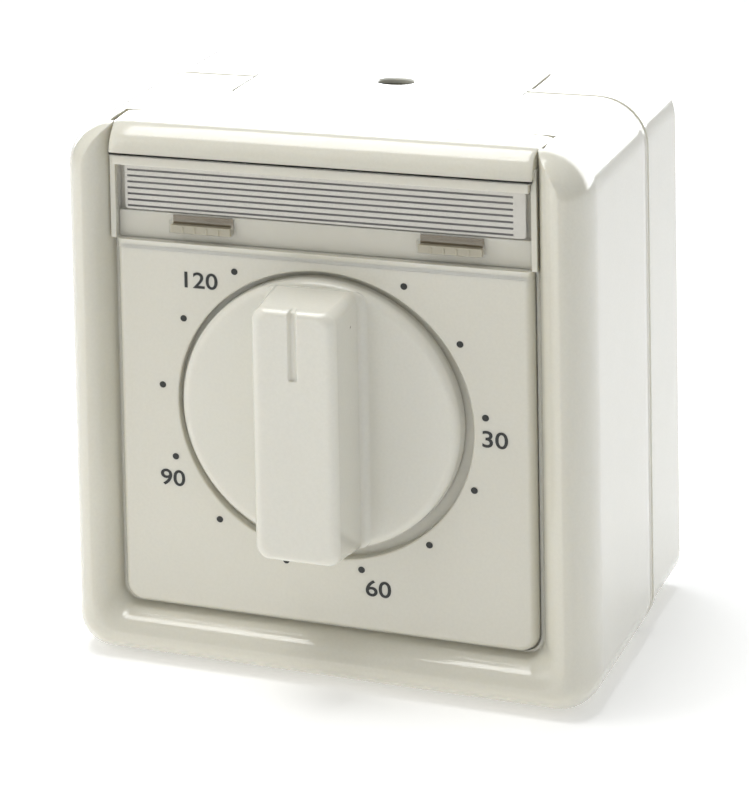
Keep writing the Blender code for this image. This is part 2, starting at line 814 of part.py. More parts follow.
def make_mainspring(look):
    """Flat spiral from the spindle to a tail that hooks at the right-hand pillar."""
    turns, steps_per_turn = 4.0, 28
    inner_r, outer_r = 3.6 * MM, 12.6 * MM
    half_strip = 0.2 * MM
    count = int(turns * steps_per_turn)
    tail = (15.9 * MM * math.cos(math.radians(-8.3)), 15.9 * MM * math.sin(math.radians(-8.3)))

    def side_points(offset):
        points = []
        for i in range(count + 1):
            share = i / count
            a = 2 * math.pi * turns * share - math.radians(40)
            radius = inner_r + (outer_r - inner_r) * share + offset
            points.append((radius * math.cos(a), radius * math.sin(a)))
        return points

    outer = side_points(half_strip)
    inner = side_points(-half_strip)
    end = [(tail[0], tail[1] + half_strip), (tail[0], tail[1] - half_strip)]
    outline = outer + list(reversed(end)) + list(reversed(inner))
    return flat("mainspring", (-36.5 * MM, -32.5 * MM), (outline,), look, *SPINDLE_AT)


def make_wheel(name, at, y, teeth, module, phase, bore_r, look):
    outlines = [gear_outline(teeth, module, phase), circle(bore_r, 24)]
    pitch_r = teeth * module / 2
    if teeth >= 30:
        middle = (bore_r + pitch_r) / 2 + 0.3 * MM
        window_r = (pitch_r - bore_r) * 0.22
        for i in range(4):
            a = math.radians(45 + 90 * i)
            outlines.append(circle(window_r, 16, middle * math.cos(a), middle * math.sin(a)))
    return flat(name, y, outlines, look, *at)


def make_arbor(name, at, look, rear=-23.5 * MM, front=-44.8 * MM):
    profile = (
        (front, 0.0),
        (front, ARBOR_R - 0.2 * MM),
        (front + 0.2 * MM, ARBOR_R),
        (rear - 0.2 * MM, ARBOR_R),
        (rear, ARBOR_R - 0.2 * MM),
        (rear, 0.0),
    )
    return turned(name, *at, profile, look, sides=16)


def widened(level):
    return (level[0] - PINION_OVERHANG, level[1] + PINION_OVERHANG)


def make_train(brass, steel):
    """Three meshes from the spindle's drive wheel to the escape pinion, each in phase."""
    bore = ARBOR_R + 0.03 * MM
    phase = 0.0
    make_wheel(
        "drive_wheel",
        SPINDLE_AT,
        DRIVE_Y,
        DRIVE_TEETH,
        FIRST_MODULE,
        phase,
        SPINDLE_R + 0.03 * MM,
        brass,
    )
    stages = (
        ("second", DRIVE_TEETH, SECOND_PINION_TEETH, FIRST_MODULE, DRIVE_Y),
        ("third", SECOND_WHEEL_TEETH, THIRD_PINION_TEETH, LATER_MODULE, SECOND_Y),
        ("escape", THIRD_WHEEL_TEETH, ESCAPE_PINION_TEETH, LATER_MODULE, THIRD_Y),
    )
    driver_at = SPINDLE_AT
    wheels = {
        "second": (SECOND_Y, SECOND_WHEEL_TEETH),
        "third": (THIRD_Y, THIRD_WHEEL_TEETH),
    }
    for name, driver_teeth, pinion_teeth, module, level in stages:
        at = ARBORS[name]
        phase = meshed_phase(driver_teeth, pinion_teeth, phase, direction(driver_at, at))
        driver_at = at
        make_arbor(f"{name}_arbor", at, steel)
        pinion_y = widened(level)
        make_wheel(f"{name}_pinion", at, pinion_y, pinion_teeth, module, phase, bore, steel)
        if name in wheels:
            wheel_y, teeth = wheels[name]
            phase = 0.0
            make_wheel(f"{name}_wheel", at, wheel_y, teeth, LATER_MODULE, phase, bore, brass)
    outlines = (escape_outline(0.0), circle(bore, 24))
    flat("escape_wheel", ESCAPE_Y, outlines, brass, *ARBORS["escape"])


def make_escapement(steel, brass):
    """Pallet lever with two arms round the escape wheel, and the inertia bar that times it."""
    pallet_at = ARBORS["pallet"]
    make_arbor("pallet_arbor", pallet_at, steel)
    toward = direction(pallet_at, ARBORS["escape"])

    def point(distance, degrees):
        a = toward + math.radians(degrees)
        return (distance * math.cos(a), distance * math.sin(a))

    lever = [
        point(1.7 * MM, 180),
        point(1.9 * MM, 120),
        point(4.4 * MM, 62),
        point(7.4 * MM, 47),
        point(7.9 * MM, 42),
        point(6.8 * MM, 44),
        point(4.0 * MM, 48),
        point(2.0 * MM, 22),
        point(2.0 * MM, -22),
        point(4.0 * MM, -48),
        point(6.8 * MM, -44),
        point(7.9 * MM, -42),
        point(7.4 * MM, -47),
        point(4.4 * MM, -62),
        point(1.9 * MM, -120),
    ]
    hole = circle(ARBOR_R + 0.03 * MM, 24)
    flat("pallet_lever", ESCAPE_Y, (lever, hole), steel, *pallet_at)
    bar = rounded_rectangle((-5.4 * MM, 5.4 * MM), (-1.6 * MM, 1.6 * MM), 1.5 * MM)
    flat("inertia_bar", (-42.2 * MM, -41.0 * MM), (bar, hole), brass, *pallet_at)


# ---- switch and terminals ----
def make_contacts(base, bronze, silver):
    """Insulating block with two upright leaf blades and their silver tips."""
    contact_base = block(
        "contact_block", BLOCK_X, (-42.9 * MM, -39.7 * MM), BLOCK_Z, base, round_y=0.6 * MM, steps=2
    )
    half = BLADE_THICK / 2
    blades = (
        ("moving_contact_blade", MOVING_BLADE_X, -1, 0.0),
        ("fixed_contact_blade", FIXED_BLADE_X, 1, 0.4 * MM),
    )
    for name, x, tip_side, extra in blades:
        slot = block(
            f"{name}_slot",
            (x - half - 0.15 * MM, x + half + 0.15 * MM),
            (-45 * MM, -38 * MM),
            (BLADE_Z[0] - 0.2 * MM, BLADE_Z[0] + 5 * MM),
        )
        cut(contact_base, slot)
        blade = block(
            name,
            (x - half, x + half),
            CAM_Y,
            (BLADE_Z[0], BLADE_Z[1] + extra),
            bronze,
            origin=(x, CAM_Y[0], BLADE_Z[0]),
        )
        tip_name = name.replace("blade", "tip")
        hole_r, shank_r, head_r = 0.62 * MM, 0.55 * MM, 0.95 * MM
        along_x = Matrix.Rotation(math.radians(90), 4, "Y")
        middle = (x, (CAM_Y[0] + CAM_Y[1]) / 2, TIP_Z)
        bm = bmesh.new()
        bmesh.ops.create_cone(
            bm, cap_ends=True, segments=16, radius1=hole_r, radius2=hole_r, depth=3 * MM, matrix=along_x
        )
        bmesh.ops.translate(bm, verts=bm.verts, vec=middle)
        cut(blade, from_bmesh(f"{name}_hole", bm))
        profile = (
            (-0.6 * MM - half, 0.0),
            (-0.6 * MM - half, head_r),
            (-0.05 * MM - half, head_r),
            (-0.05 * MM - half, shank_r),
            (half + 0.05 * MM, shank_r),
            (half + 0.05 * MM, 0.8 * MM),
            (half + 0.25 * MM, 0.8 * MM),
            (half + 0.25 * MM, 0.0),
        )
        tip = turned(tip_name, 0, 0, profile, silver, sides=16)
        tip.location = (x + tip_side * (0.6 * MM + half), middle[1], middle[2])
        tip.rotation_euler = (0, math.radians(90 * tip_side), 0)
    nose = block(
        "blade_nose",
        (MOVING_BLADE_X + half - 0.1 * MM, -CAM_R - 0.15 * MM),
        (CAM_Y[0] + 0.3 * MM, CAM_Y[1] - 0.3 * MM),
        (DIAL_Z - 2.1 * MM, DIAL_Z - 1.1 * MM),
    )
    join(bpy.data.objects["moving_contact_blade"], nose)


def make_terminals(base, brass, steel):
    """Block with three open chambers, each with a clamp and a screw reached from the front."""
    terminal_block = block(
        "terminal_block",
        (-14.0 * MM, 14.0 * MM),
        (-44.6 * MM, -31.5 * MM),
        (-31.6 * MM, -23.6 * MM),
        base,
        round_y=0.8 * MM,
        steps=2,
    )
    for index, x in enumerate(TERMINAL_X, 1):
        chamber = block(
            f"chamber_{index}",
            (x - 3.0 * MM, x + 3.0 * MM),
            (-41.0 * MM, -33.0 * MM),
            (-34.0 * MM, -25.0 * MM),
        )
        access = rod(f"access_{index}", x, TERMINAL_Z, (-50 * MM, -40 * MM), 2.1 * MM, sides=20)
        cut(terminal_block, chamber, access)
        clamp = block(
            f"terminal_clamp_{index}",
            (x - 2.7 * MM, x + 2.7 * MM),
            (-40.7 * MM, -33.3 * MM),
            (-30.8 * MM, -25.3 * MM),
            brass,
        )
        thread = rod(f"thread_{index}", x, TERMINAL_Z, (-45 * MM, -36 * MM), 1.35 * MM, sides=20)
        bm = bmesh.new()
        bmesh.ops.create_cone(
            bm, cap_ends=True, segments=20, radius1=1.5 * MM, radius2=1.5 * MM, depth=12 * MM
        )
        bmesh.ops.translate(bm, verts=bm.verts, vec=(x, -35.6 * MM, TERMINAL_Z))
        cut(clamp, thread, from_bmesh(f"wire_hole_{index}", bm))
        make_screw(
            f"terminal_screw_{index}",
            x,
            TERMINAL_Z,
            -41.6 * MM,
            1.9 * MM,
            1.4 * MM,
            1.25 * MM,
            5.0 * MM,
            steel,
        )


def build():
    cream = finish("cream_plastic", (0.84, 0.82, 0.74), 0.28)
    clear = finish("clear_plastic", (0.93, 0.93, 0.88), 0.08, alpha=0.35)
    paper = finish("label_paper", (0.90, 0.90, 0.88), 0.7)
    rubber = finish("seal_rubber", (0.10, 0.10, 0.10), 0.8)
    base = finish("dark_thermoset", (0.16, 0.12, 0.10), 0.5)
    steel = finish("plated_steel", (0.62, 0.63, 0.65), 0.3, metallic=1.0)
    spring_steel = finish("spring_steel", (0.35, 0.38, 0.45), 0.3, metallic=1.0)
    brass = finish("brass", (0.80, 0.62, 0.30), 0.3, metallic=1.0)
    bronze = finish("phosphor_bronze", (0.78, 0.50, 0.34), 0.3, metallic=1.0)
    silver = finish("contact_silver", (0.87, 0.87, 0.86), 0.25, metallic=1.0)

    make_rear_box(cream)
    make_housing_seals(rubber)
    make_front_hood(cream)
    make_cable_entry("cable_entry_top", 1, TOP_HOLE_R, cream)
    make_cable_entry("cable_entry_bottom", -1, BOTTOM_RING_R, cream)
    make_label_cap(cream)
    make_label_window(clear)
    make_label_card(paper)
    make_dial_plate(cream)
    make_knob(cream)
    make_knob_clip(spring_steel)
    make_support_frame(steel)
    make_fixing_screws(steel)
    make_movement_plates(brass)
    make_pillars(steel)
    make_spindle_bush(brass)
    make_main_spindle(steel)
    make_cam_disc(base)
    make_mainspring(spring_steel)
    make_train(brass, steel)
    make_escapement(steel, brass)
    make_contacts(base, bronze, silver)
    make_terminals(base, brass, steel)


clear_scene()
PARTS = new_collection("run_down_time_switch")
CUTTERS = new_collection("cutters")
CUTTERS.hide_render = True
build()
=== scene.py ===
"""Looks of the mechanical run-down time switch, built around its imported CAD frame.

Row frame: metres, the wall is the plane y = 0, the front faces -Y and Z is up.
"""

import json
import math

import bmesh
import bpy
from mathutils import Matrix, Vector


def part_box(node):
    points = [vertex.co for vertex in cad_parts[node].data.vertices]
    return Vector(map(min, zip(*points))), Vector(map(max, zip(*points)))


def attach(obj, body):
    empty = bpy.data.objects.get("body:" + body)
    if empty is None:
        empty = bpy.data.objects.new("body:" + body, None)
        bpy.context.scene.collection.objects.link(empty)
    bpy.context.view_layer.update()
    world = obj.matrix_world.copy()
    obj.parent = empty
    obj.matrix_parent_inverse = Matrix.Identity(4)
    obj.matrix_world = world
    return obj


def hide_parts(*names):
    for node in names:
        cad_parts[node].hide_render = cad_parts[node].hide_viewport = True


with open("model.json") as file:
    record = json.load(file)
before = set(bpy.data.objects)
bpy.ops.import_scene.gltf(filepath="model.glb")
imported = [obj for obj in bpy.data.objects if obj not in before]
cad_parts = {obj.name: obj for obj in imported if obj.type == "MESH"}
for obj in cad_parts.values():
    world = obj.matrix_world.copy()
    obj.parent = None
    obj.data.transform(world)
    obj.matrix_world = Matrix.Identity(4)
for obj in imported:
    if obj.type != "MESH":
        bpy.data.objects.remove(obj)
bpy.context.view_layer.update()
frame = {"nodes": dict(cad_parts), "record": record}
NODES = frame["nodes"]
MM = 0.001


# ---- sizes taken from the frame ----
HOOD_LOW, HOOD_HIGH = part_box("front_hood")
PLATE_LOW, PLATE_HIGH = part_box("dial_plate")
WINDOW_LOW, WINDOW_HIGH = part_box("label_window")
CARD_LOW, CARD_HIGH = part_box("label_card")
CAP_LOW, CAP_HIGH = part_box("label_cap")
KNOB_LOW, KNOB_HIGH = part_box("knob")
ENTRY_LOW, ENTRY_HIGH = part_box("cable_entry_top")
HALF_X = HOOD_HIGH.x
HALF_Z = HOOD_HIGH.z
SEAM_Y = HOOD_HIGH.y
FRONT_Y = HOOD_LOW.y
DIAL_Z = (KNOB_LOW.z + KNOB_HIGH.z) / 2
DIAL_FACE_Y = PLATE_LOW.y
DISC_FACE_Y = DIAL_FACE_Y - 1.6 * MM
SEAT_Y = PLATE_HIGH.y + 0.3 * MM
GROOVE_FLOOR_Y = DIAL_FACE_Y + 1.8 * MM
SCREW_BOXES = [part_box(f"hood_screw_{word}") for word in ("left", "right")]
HOOD_SCREWS = [((low.x + high.x) / 2, (low.z + high.z) / 2) for low, high in SCREW_BOXES]

# ---- shape of the housing ----
TOP_CORNER_R = 6.2 * MM
LOW_CORNER_R = 5.0 * MM
SIDE_FLAT_Y = -51.0 * MM  # the sides are flat as far forward as this
RAIL_INSET = 3.6 * MM  # of the rail's crest from the side
RAIL_FOOT_X = 26.65 * MM  # where the rails' inner sides meet the floor round the plate
RAIL_FOOT_Z = -28.6 * MM
LABEL_BAY_Z = 19.9 * MM  # the bay behind the label starts at this height
CAP_NOTCH_Y = CAP_HIGH.y + 0.25 * MM
CAP_SET_BACK = 0.2 * MM
CAP_RAISED = 1.15 * MM  # of its lower edge, which shows the window's upper frame
CAP_FRONT_HALF_X = 26.5 * MM
CAP_TOP_HALF_X = 27.2 * MM
CAP_WIDENS_Y = (-55.5 * MM, -50.5 * MM)
REAR_STEP = 0.35 * MM  # of the rear box inside the raised lip
HOOD_WALL = 2 * MM
REAR_WALL = 2.3 * MM
CAVITY_FRONT_Y = -52.0 * MM
OPENING_HALF_X = 22.5 * MM  # of the hole behind the dial plate
OPENING_Z = (-24.5 * MM, 17.0 * MM)
ENTRY_SLOT_HALF_X = 18.0 * MM
ENTRY_SLOT_Z = (32 * MM, 40 * MM)
CABLE_HOLE_X = 0.55 * MM
CABLE_HOLE_Y = -18.7 * MM
CABLE_HOLE_R = 2.6 * MM
KNOCKOUT_R = (5.0 * MM, 5.6 * MM)  # of the groove in the bottom entry
WALL_FIXING_Z = 24.0 * MM
FRAME_POST_X = 25 * MM
# six pockets of the back, in two columns and three rows
POCKET_HALF_X = 13.0 * MM / 1.2
POCKET_HALF_Z = 10.0 * MM / 1.2
POCKET_DEPTH = 0.6 * MM
POCKET_COLUMN_X = 17.5 * MM
POCKET_ROW_Z = 21.5 * MM
LIP_Y = (SEAM_Y + 0.45 * MM, SEAM_Y + 2.6 * MM)

PLATE_HALF_X = RAIL_FOOT_X - 0.5 * MM
PLATE_LOW_Z = RAIL_FOOT_Z + 0.3 * MM
PLATE_RIM_INSET = 0.95 * MM
PLATE_RIM_DEPTH = 1.8 * MM
PLATE_CORNER_R = 2.4 * MM

# ---- shape of the knob ----
DISC_FACE_R = 16.3 * MM
DISC_EDGE_R = 1.15 * MM
DISC_RIM_R = 17.6 * MM
HUB_R = 5.0 * MM
RECESS_R = 18.6 * MM
RECESS_DEPTH = 1.7 * MM
RECESS_OFF_CENTRE = 0.3 * MM  # the plate sits a little low and to the right of the knob
BAR_FRONT_Y = KNOB_LOW.y
BAR_END_R = 17.3 * MM  # at the disc; the ends follow the disc's circle
BAR_FRONT_END_R = 16.6 * MM
BAR_HALF_X = 5.25 * MM
BAR_FOOT_EXTRA = 0.25 * MM
BAR_EDGE_R = 1.25 * MM
BAR_FILLET_R = 1.1 * MM
POINTER_HALF = 0.62 * MM
POINTER_DEPTH = 0.45 * MM
POINTER_LOW_Z = 7.2 * MM

# ---- pry slots of the label window ----
PRY_SLOTS_X = (-14.95 * MM, 16.35 * MM)
PRY_SLOT_HALF_X = 4.0 * MM
PRY_SLOT_Z = (21.55 * MM, 23.15 * MM)
PRY_CATCH_Z = (21.6 * MM, 22.6 * MM)
PRY_RIBS = 4

# ---- dial printing ----
DOT_CIRCLE_R = 20.4 * MM
DOT_R = 0.42 * MM
DOT_START, DOT_STEP, DOT_COUNT = 31.5, 27.0, 12  # degrees clockwise from the top
NUMBER_SIZE = 2.95 * MM
NUMBER_WIDE = 1.13
NUMBER_BOLD = 0.035 * MM
NUMBERS = {
    "30": (21.4 * MM, -1.2 * MM),
    "60": (6.8 * MM, -22.2 * MM),
    "90": (-19.3 * MM, -10.8 * MM),
    "120": (-15.3 * MM, 15.7 * MM),
}
INK_THICK = 0.03 * MM

# ---- ruled lines of the label ----
LINE_COUNT = 7
LINE_TOP_Z = 29.15 * MM
LINE_SPACING = 0.789 * MM
LINE_THICK = 0.26 * MM
LINE_X = (-24.85 * MM, 23.7 * MM)


# ---- meshes ----
def new_object(name, bm):
    bmesh.ops.remove_doubles(bm, verts=bm.verts, dist=1e-7)
    bmesh.ops.recalc_face_normals(bm, faces=bm.faces)
    mesh = bpy.data.meshes.new(name)
    bm.to_mesh(mesh)
    bm.free()
    made = bpy.data.objects.new(name, mesh)
    bpy.context.scene.collection.objects.link(made)
    return made


def loft(name, rings):
    """Skins rings of equally many points, and closes both ends."""
    bm = bmesh.new()
    rows = [[bm.verts.new(point) for point in ring] for ring in rings]
    count = len(rows[0])
    for near, far in zip(rows, rows[1:]):
        for i in range(count):
            j = (i + 1) % count
            bm.faces.new((near[i], near[j], far[j], far[i]))
    bm.faces.new(rows[0])
    bm.faces.new(list(reversed(rows[-1])))
    return new_object(name, bm)


def box(name, x, y, z):
    bm = bmesh.new()
    bmesh.ops.create_cube(bm, size=1.0)
    for axis, (low, high) in enumerate((x, y, z)):
        for vert in bm.verts:
            vert.co[axis] = (low + high) / 2 + vert.co[axis] * (high - low)
    return new_object(name, bm)


def rod(name, centre, radius, length, along="Y", sides=64):
    turn = Matrix.Rotation(math.radians(-90), 4, "X") if along == "Y" else Matrix.Identity(4)
    bm = bmesh.new()
    bmesh.ops.create_cone(
        bm,
        cap_ends=True,
        segments=sides,
        radius1=radius,
        radius2=radius,
        depth=length,
        matrix=turn,
    )
    bmesh.ops.translate(bm, verts=bm.verts, vec=centre)
    return new_object(name, bm)


def rounded_ring(y, half_x, low_z, high_z, low_r, high_r, steps=10):
    """A rounded rectangle in the plane y, anticlockwise seen from the rear."""
    corners = (
        (half_x - high_r, high_z - high_r, high_r, 0),
        (high_r - half_x, high_z - high_r, high_r, 90),
        (low_r - half_x, low_z + low_r, low_r, 180),
        (half_x - low_r, low_z + low_r, low_r, 270),
    )
    points = []
    for x, z, radius, start in corners:
        for i in range(steps + 1):
            a = math.radians(start + 90 * i / steps)
            points.append((x + radius * math.cos(a), y, z + radius * math.sin(a)))
    return points


def turned(name, profile, centre, sides=128, along="Y"):
    """profile lists (distance along the axis, radius), from one end of the axis to the other."""
    bm = bmesh.new()
    rings = []
    for t, radius in profile:
        if radius == 0.0:
            rings.append([bm.verts.new((0, t, 0))])
            continue
        turns = (2 * math.pi * i / sides for i in range(sides))
        rings.append([bm.verts.new((radius * math.cos(a), t, radius * math.sin(a))) for a in turns])
    for near, far in zip(rings, rings[1:]):
        for i in range(sides):
            j = (i + 1) % sides
            if len(near) == 1:
                bm.faces.new((near[0], far[j], far[i]))
            elif len(far) == 1:
                bm.faces.new((near[i], near[j], far[0]))
            else:
                bm.faces.new((near[i], near[j], far[j], far[i]))
    if along == "Z":
        bmesh.ops.rotate(bm, verts=bm.verts, matrix=Matrix.Rotation(math.radians(90), 3, "X"))
    bmesh.ops.translate(bm, verts=bm.verts, vec=centre)
    return new_object(name, bm)


def boolean(target, tools, operation):
    for tool in tools:
        modifier = target.modifiers.new(tool.name, "BOOLEAN")
        modifier.operation = operation
        modifier.solver = "EXACT"
        modifier.object = tool
    bake(target)
    for tool in tools:
        bpy.data.objects.remove(tool, do_unlink=True)


def bake(target):
    """Applies target's modifiers to its mesh."""
    evaluated = target.evaluated_get(bpy.context.evaluated_depsgraph_get())
    mesh = bpy.data.meshes.new_from_object(evaluated)
    target.modifiers.clear()
    target.data = mesh


def cut(target, *tools):
    boolean(target, tools, "DIFFERENCE")


def join(target, *tools):
    boolean(target, tools, "UNION")


def smooth(target, degrees=32):
    """Smooth shading that stops at edges sharper than the angle, weighted towards big faces."""
    mesh = target.data
    mesh.polygons.foreach_set("use_smooth", [True] * len(mesh.polygons))
    mesh.set_sharp_from_angle(angle=math.radians(degrees))
    weighted = target.modifiers.new("weighted normals", "WEIGHTED_NORMAL")
    weighted.keep_sharp = True
    return target


# ---- materials ----
class Nodes:
    """A material's node tree, with short calls for the nodes used here."""

    def __init__(self, name):
        self.material = bpy.data.materials.new(name)
        self.material.use_nodes = True
        self.tree = self.material.node_tree
        self.shader = self.tree.nodes["Principled BSDF"]
        where = self.tree.nodes.new("ShaderNodeTexCoord")
        self.place = where.outputs["Object"]

    def add(self, kind, inputs=None, **settings):
        node = self.tree.nodes.new(kind)
        for key, value in settings.items():
            setattr(node, key, value)
        for key, value in (inputs or {}).items():
            self.put(node.inputs[key], value)
        return node

    def put(self, socket, value):
        if isinstance(value, bpy.types.NodeSocket):
            self.tree.links.new(value, socket)
        else:
            socket.default_value = value

    def noise(self, scale, detail=3.0, rough=0.55, stretch=None):
        place = self.place
        if stretch:
            place = self.add("ShaderNodeMapping", {"Vector": place, "Scale": stretch}).outputs[0]
        inputs = {"Vector": place, "Scale": scale, "Detail": detail, "Roughness": rough}
        return self.add("ShaderNodeTexNoise", inputs).outputs["Fac"]

    def span(self, value, low, high, to_low=0.0, to_high=1.0):
        inputs = {
            "Value": value,
            "From Min": low,
            "From Max": high,
            "To Min": to_low,
            "To Max": to_high,
        }
        return self.add("ShaderNodeMapRange", inputs).outputs["Result"]

    def mix(self, factor, first, second, kind="MIX"):
        node = self.add("ShaderNodeMix", data_type="RGBA", blend_type=kind)
        self.put(node.inputs[0], factor)
        self.put(node.inputs[6], first)
        self.put(node.inputs[7], second)
        return node.outputs[2]

    def maths(self, operation, first, second):
        node = self.add("ShaderNodeMath", operation=operation)
        self.put(node.inputs[0], first)
        self.put(node.inputs[1], second)
        return node.outputs[0]

    def edge(self, radius):
        return self.add("ShaderNodeBevel", {"Radius": radius}, samples=4).outputs[0]

    def bump(self, height, strength, distance, normal=None):
        inputs = {"Height": height, "Strength": strength, "Distance": distance}
        if normal is not None:
            inputs["Normal"] = normal
        return self.add("ShaderNodeBump", inputs).outputs[0]


def shade(colour, factor):
    return tuple(min(1.0, value * factor) for value in colour[:3]) + (1.0,)


def plastic(name, colour, rough=0.2, edge_r=0.25 * MM, grain=0.10, mottle=0.015, specks=0.0, glow=0.6):
    """Glossy moulded plastic: slow colour drift, fine grain, polished edges painted lighter in patches as a
    painted highlight, and tiny marks.
    """
    nodes = Nodes(name)
    drift = nodes.span(nodes.noise(28.0, 2.0), 0.3, 0.7)
    base = nodes.mix(drift, shade(colour, 1 - mottle), shade(colour, 1 + mottle))
    fine = nodes.noise(2600.0, 2.0)
    base = nodes.mix(nodes.span(fine, 0.35, 0.65, 0.0, 0.35), base, shade(colour, 0.93))
    rounded = nodes.edge(edge_r)
    aligned = nodes.add("ShaderNodeVectorMath", operation="DOT_PRODUCT")
    nodes.put(aligned.inputs[0], rounded)
    nodes.put(aligned.inputs[1], nodes.add("ShaderNodeNewGeometry").outputs["Normal"])
    # Painted highlight: where the rounded normal turns away from the face normal, the colour is lightened
    # in noisy patches.
    edge_highlight = nodes.span(aligned.outputs["Value"], 0.97, 0.80, 0.0, 0.5)
    patchy_edge_highlight = nodes.maths("MULTIPLY", edge_highlight, nodes.span(nodes.noise(300.0), 0.4, 0.6))
    base = nodes.mix(patchy_edge_highlight, base, shade(colour, 1.12))
    if specks:
        cells = nodes.add(
            "ShaderNodeTexVoronoi",
            {"Vector": nodes.place, "Scale": 130.0, "Randomness": 1.0},
            feature="F1",
        )
        near = nodes.span(cells.outputs["Distance"], 0.02, 0.035, 1.0, 0.0)
        chosen = nodes.maths("GREATER_THAN", nodes.noise(60.0, 1.0), 0.66)
        mark = nodes.maths("MULTIPLY", nodes.maths("MULTIPLY", near, chosen), specks)
        base = nodes.mix(mark, base, (0.10, 0.09, 0.06, 1.0))
    nodes.put(nodes.shader.inputs["Base Color"], base)
    polish = nodes.span(nodes.noise(160.0, 3.0), 0.3, 0.7, rough * 0.85, rough * 1.2)
    nodes.put(nodes.shader.inputs["Roughness"], polish)
    waves = nodes.bump(nodes.noise(420.0, 1.0), grain * 0.6, 0.02 * MM, rounded)
    nodes.put(nodes.shader.inputs["Normal"], nodes.bump(fine, grain, 0.01 * MM, waves))
    nodes.put(nodes.shader.inputs["Subsurface Weight"], glow)
    nodes.put(nodes.shader.inputs["Subsurface Radius"], (1.0, 0.9, 0.75))
    nodes.put(nodes.shader.inputs["Subsurface Scale"], 0.9 * MM)
    nodes.put(nodes.shader.inputs["Coat Weight"], 0.25)
    nodes.put(nodes.shader.inputs["Coat Roughness"], 0.06)
    return nodes.material


def metal(name, colour, rough=0.3, brushed=(1.0, 1.0, 1.0), tarnish=0.12):
    """Bare or plated metal with fine machining lines, tarnish and softened edges."""
    nodes = Nodes(name)
    stain = nodes.span(nodes.noise(220.0, 5.0), 0.45, 0.75, 0.0, 1.0)
    base = nodes.mix(stain, shade(colour, 1.0), shade(colour, 1 - 2 * tarnish))
    lines = nodes.noise(900.0, 2.0, 0.5, brushed)
    nodes.put(nodes.shader.inputs["Base Color"], base)
    nodes.put(nodes.shader.inputs["Metallic"], 1.0)
    nodes.put(nodes.shader.inputs["Roughness"], nodes.span(lines, 0.3, 0.7, rough * 0.7, rough * 1.4))
    edge = nodes.edge(0.06 * MM)
    nodes.put(nodes.shader.inputs["Normal"], nodes.bump(lines, 0.25, 0.01 * MM, edge))
    return nodes.material


def rubber(name, colour):
    nodes = Nodes(name)
    fine = nodes.noise(1500.0, 3.0)
    base = nodes.mix(nodes.span(nodes.noise(90.0), 0.3, 0.7), shade(colour, 0.8), shade(colour, 1.3))
    nodes.put(nodes.shader.inputs["Base Color"], base)
    nodes.put(nodes.shader.inputs["Roughness"], 0.75)
    nodes.put(nodes.shader.inputs["Normal"], nodes.bump(fine, 0.3, 0.02 * MM))
    return nodes.material


def paper(name, colour):
    """Slightly mottled card with visible fibres."""
    nodes = Nodes(name)
    fibre = nodes.noise(1800.0, 4.0, 0.6, (1.0, 1.0, 3.0))
    base = nodes.mix(nodes.span(fibre, 0.3, 0.7), shade(colour, 0.94), shade(colour, 1.04))
    nodes.put(nodes.shader.inputs["Base Color"], base)
    nodes.put(nodes.shader.inputs["Roughness"], 0.8)
    nodes.put(nodes.shader.inputs["Normal"], nodes.bump(fibre, 0.15, 0.01 * MM))
    return nodes.material


def ink(name, colour):
    """Printed ink with slightly uneven cover."""
    nodes = Nodes(name)
    cover = nodes.span(nodes.noise(3500.0, 2.0), 0.35, 0.65)
    base = nodes.mix(cover, shade(colour, 0.8), shade(colour, 1.4))
    nodes.put(nodes.shader.inputs["Base Color"], base)
    nodes.put(nodes.shader.inputs["Roughness"], nodes.span(cover, 0.0, 1.0, 0.35, 0.5))
    return nodes.material


def clear(name, colour):
    """Clear moulded plastic, drawn as a thin see-through layer with a glossy skin."""
    nodes = Nodes(name)
    haze = nodes.span(nodes.noise(240.0, 3.0), 0.3, 0.7, 0.04, 0.09)
    nodes.put(nodes.shader.inputs["Base Color"], nodes.mix(haze, shade(colour, 1.0), shade(colour, 0.9)))
    nodes.put(nodes.shader.inputs["Roughness"], nodes.span(nodes.noise(500.0), 0.3, 0.7, 0.04, 0.10))
    facing = nodes.add("ShaderNodeLayerWeight", {"Blend": 0.35}).outputs["Facing"]
    solid = nodes.maths("ADD", haze, nodes.span(facing, 0.35, 1.0, 0.0, 0.55))
    nodes.put(nodes.shader.inputs["Alpha"], solid)
    normal = nodes.bump(nodes.noise(500.0, 1.0), 0.05, 0.02 * MM, nodes.edge(0.15 * MM))
    nodes.put(nodes.shader.inputs["Normal"], normal)
    return nodes.material


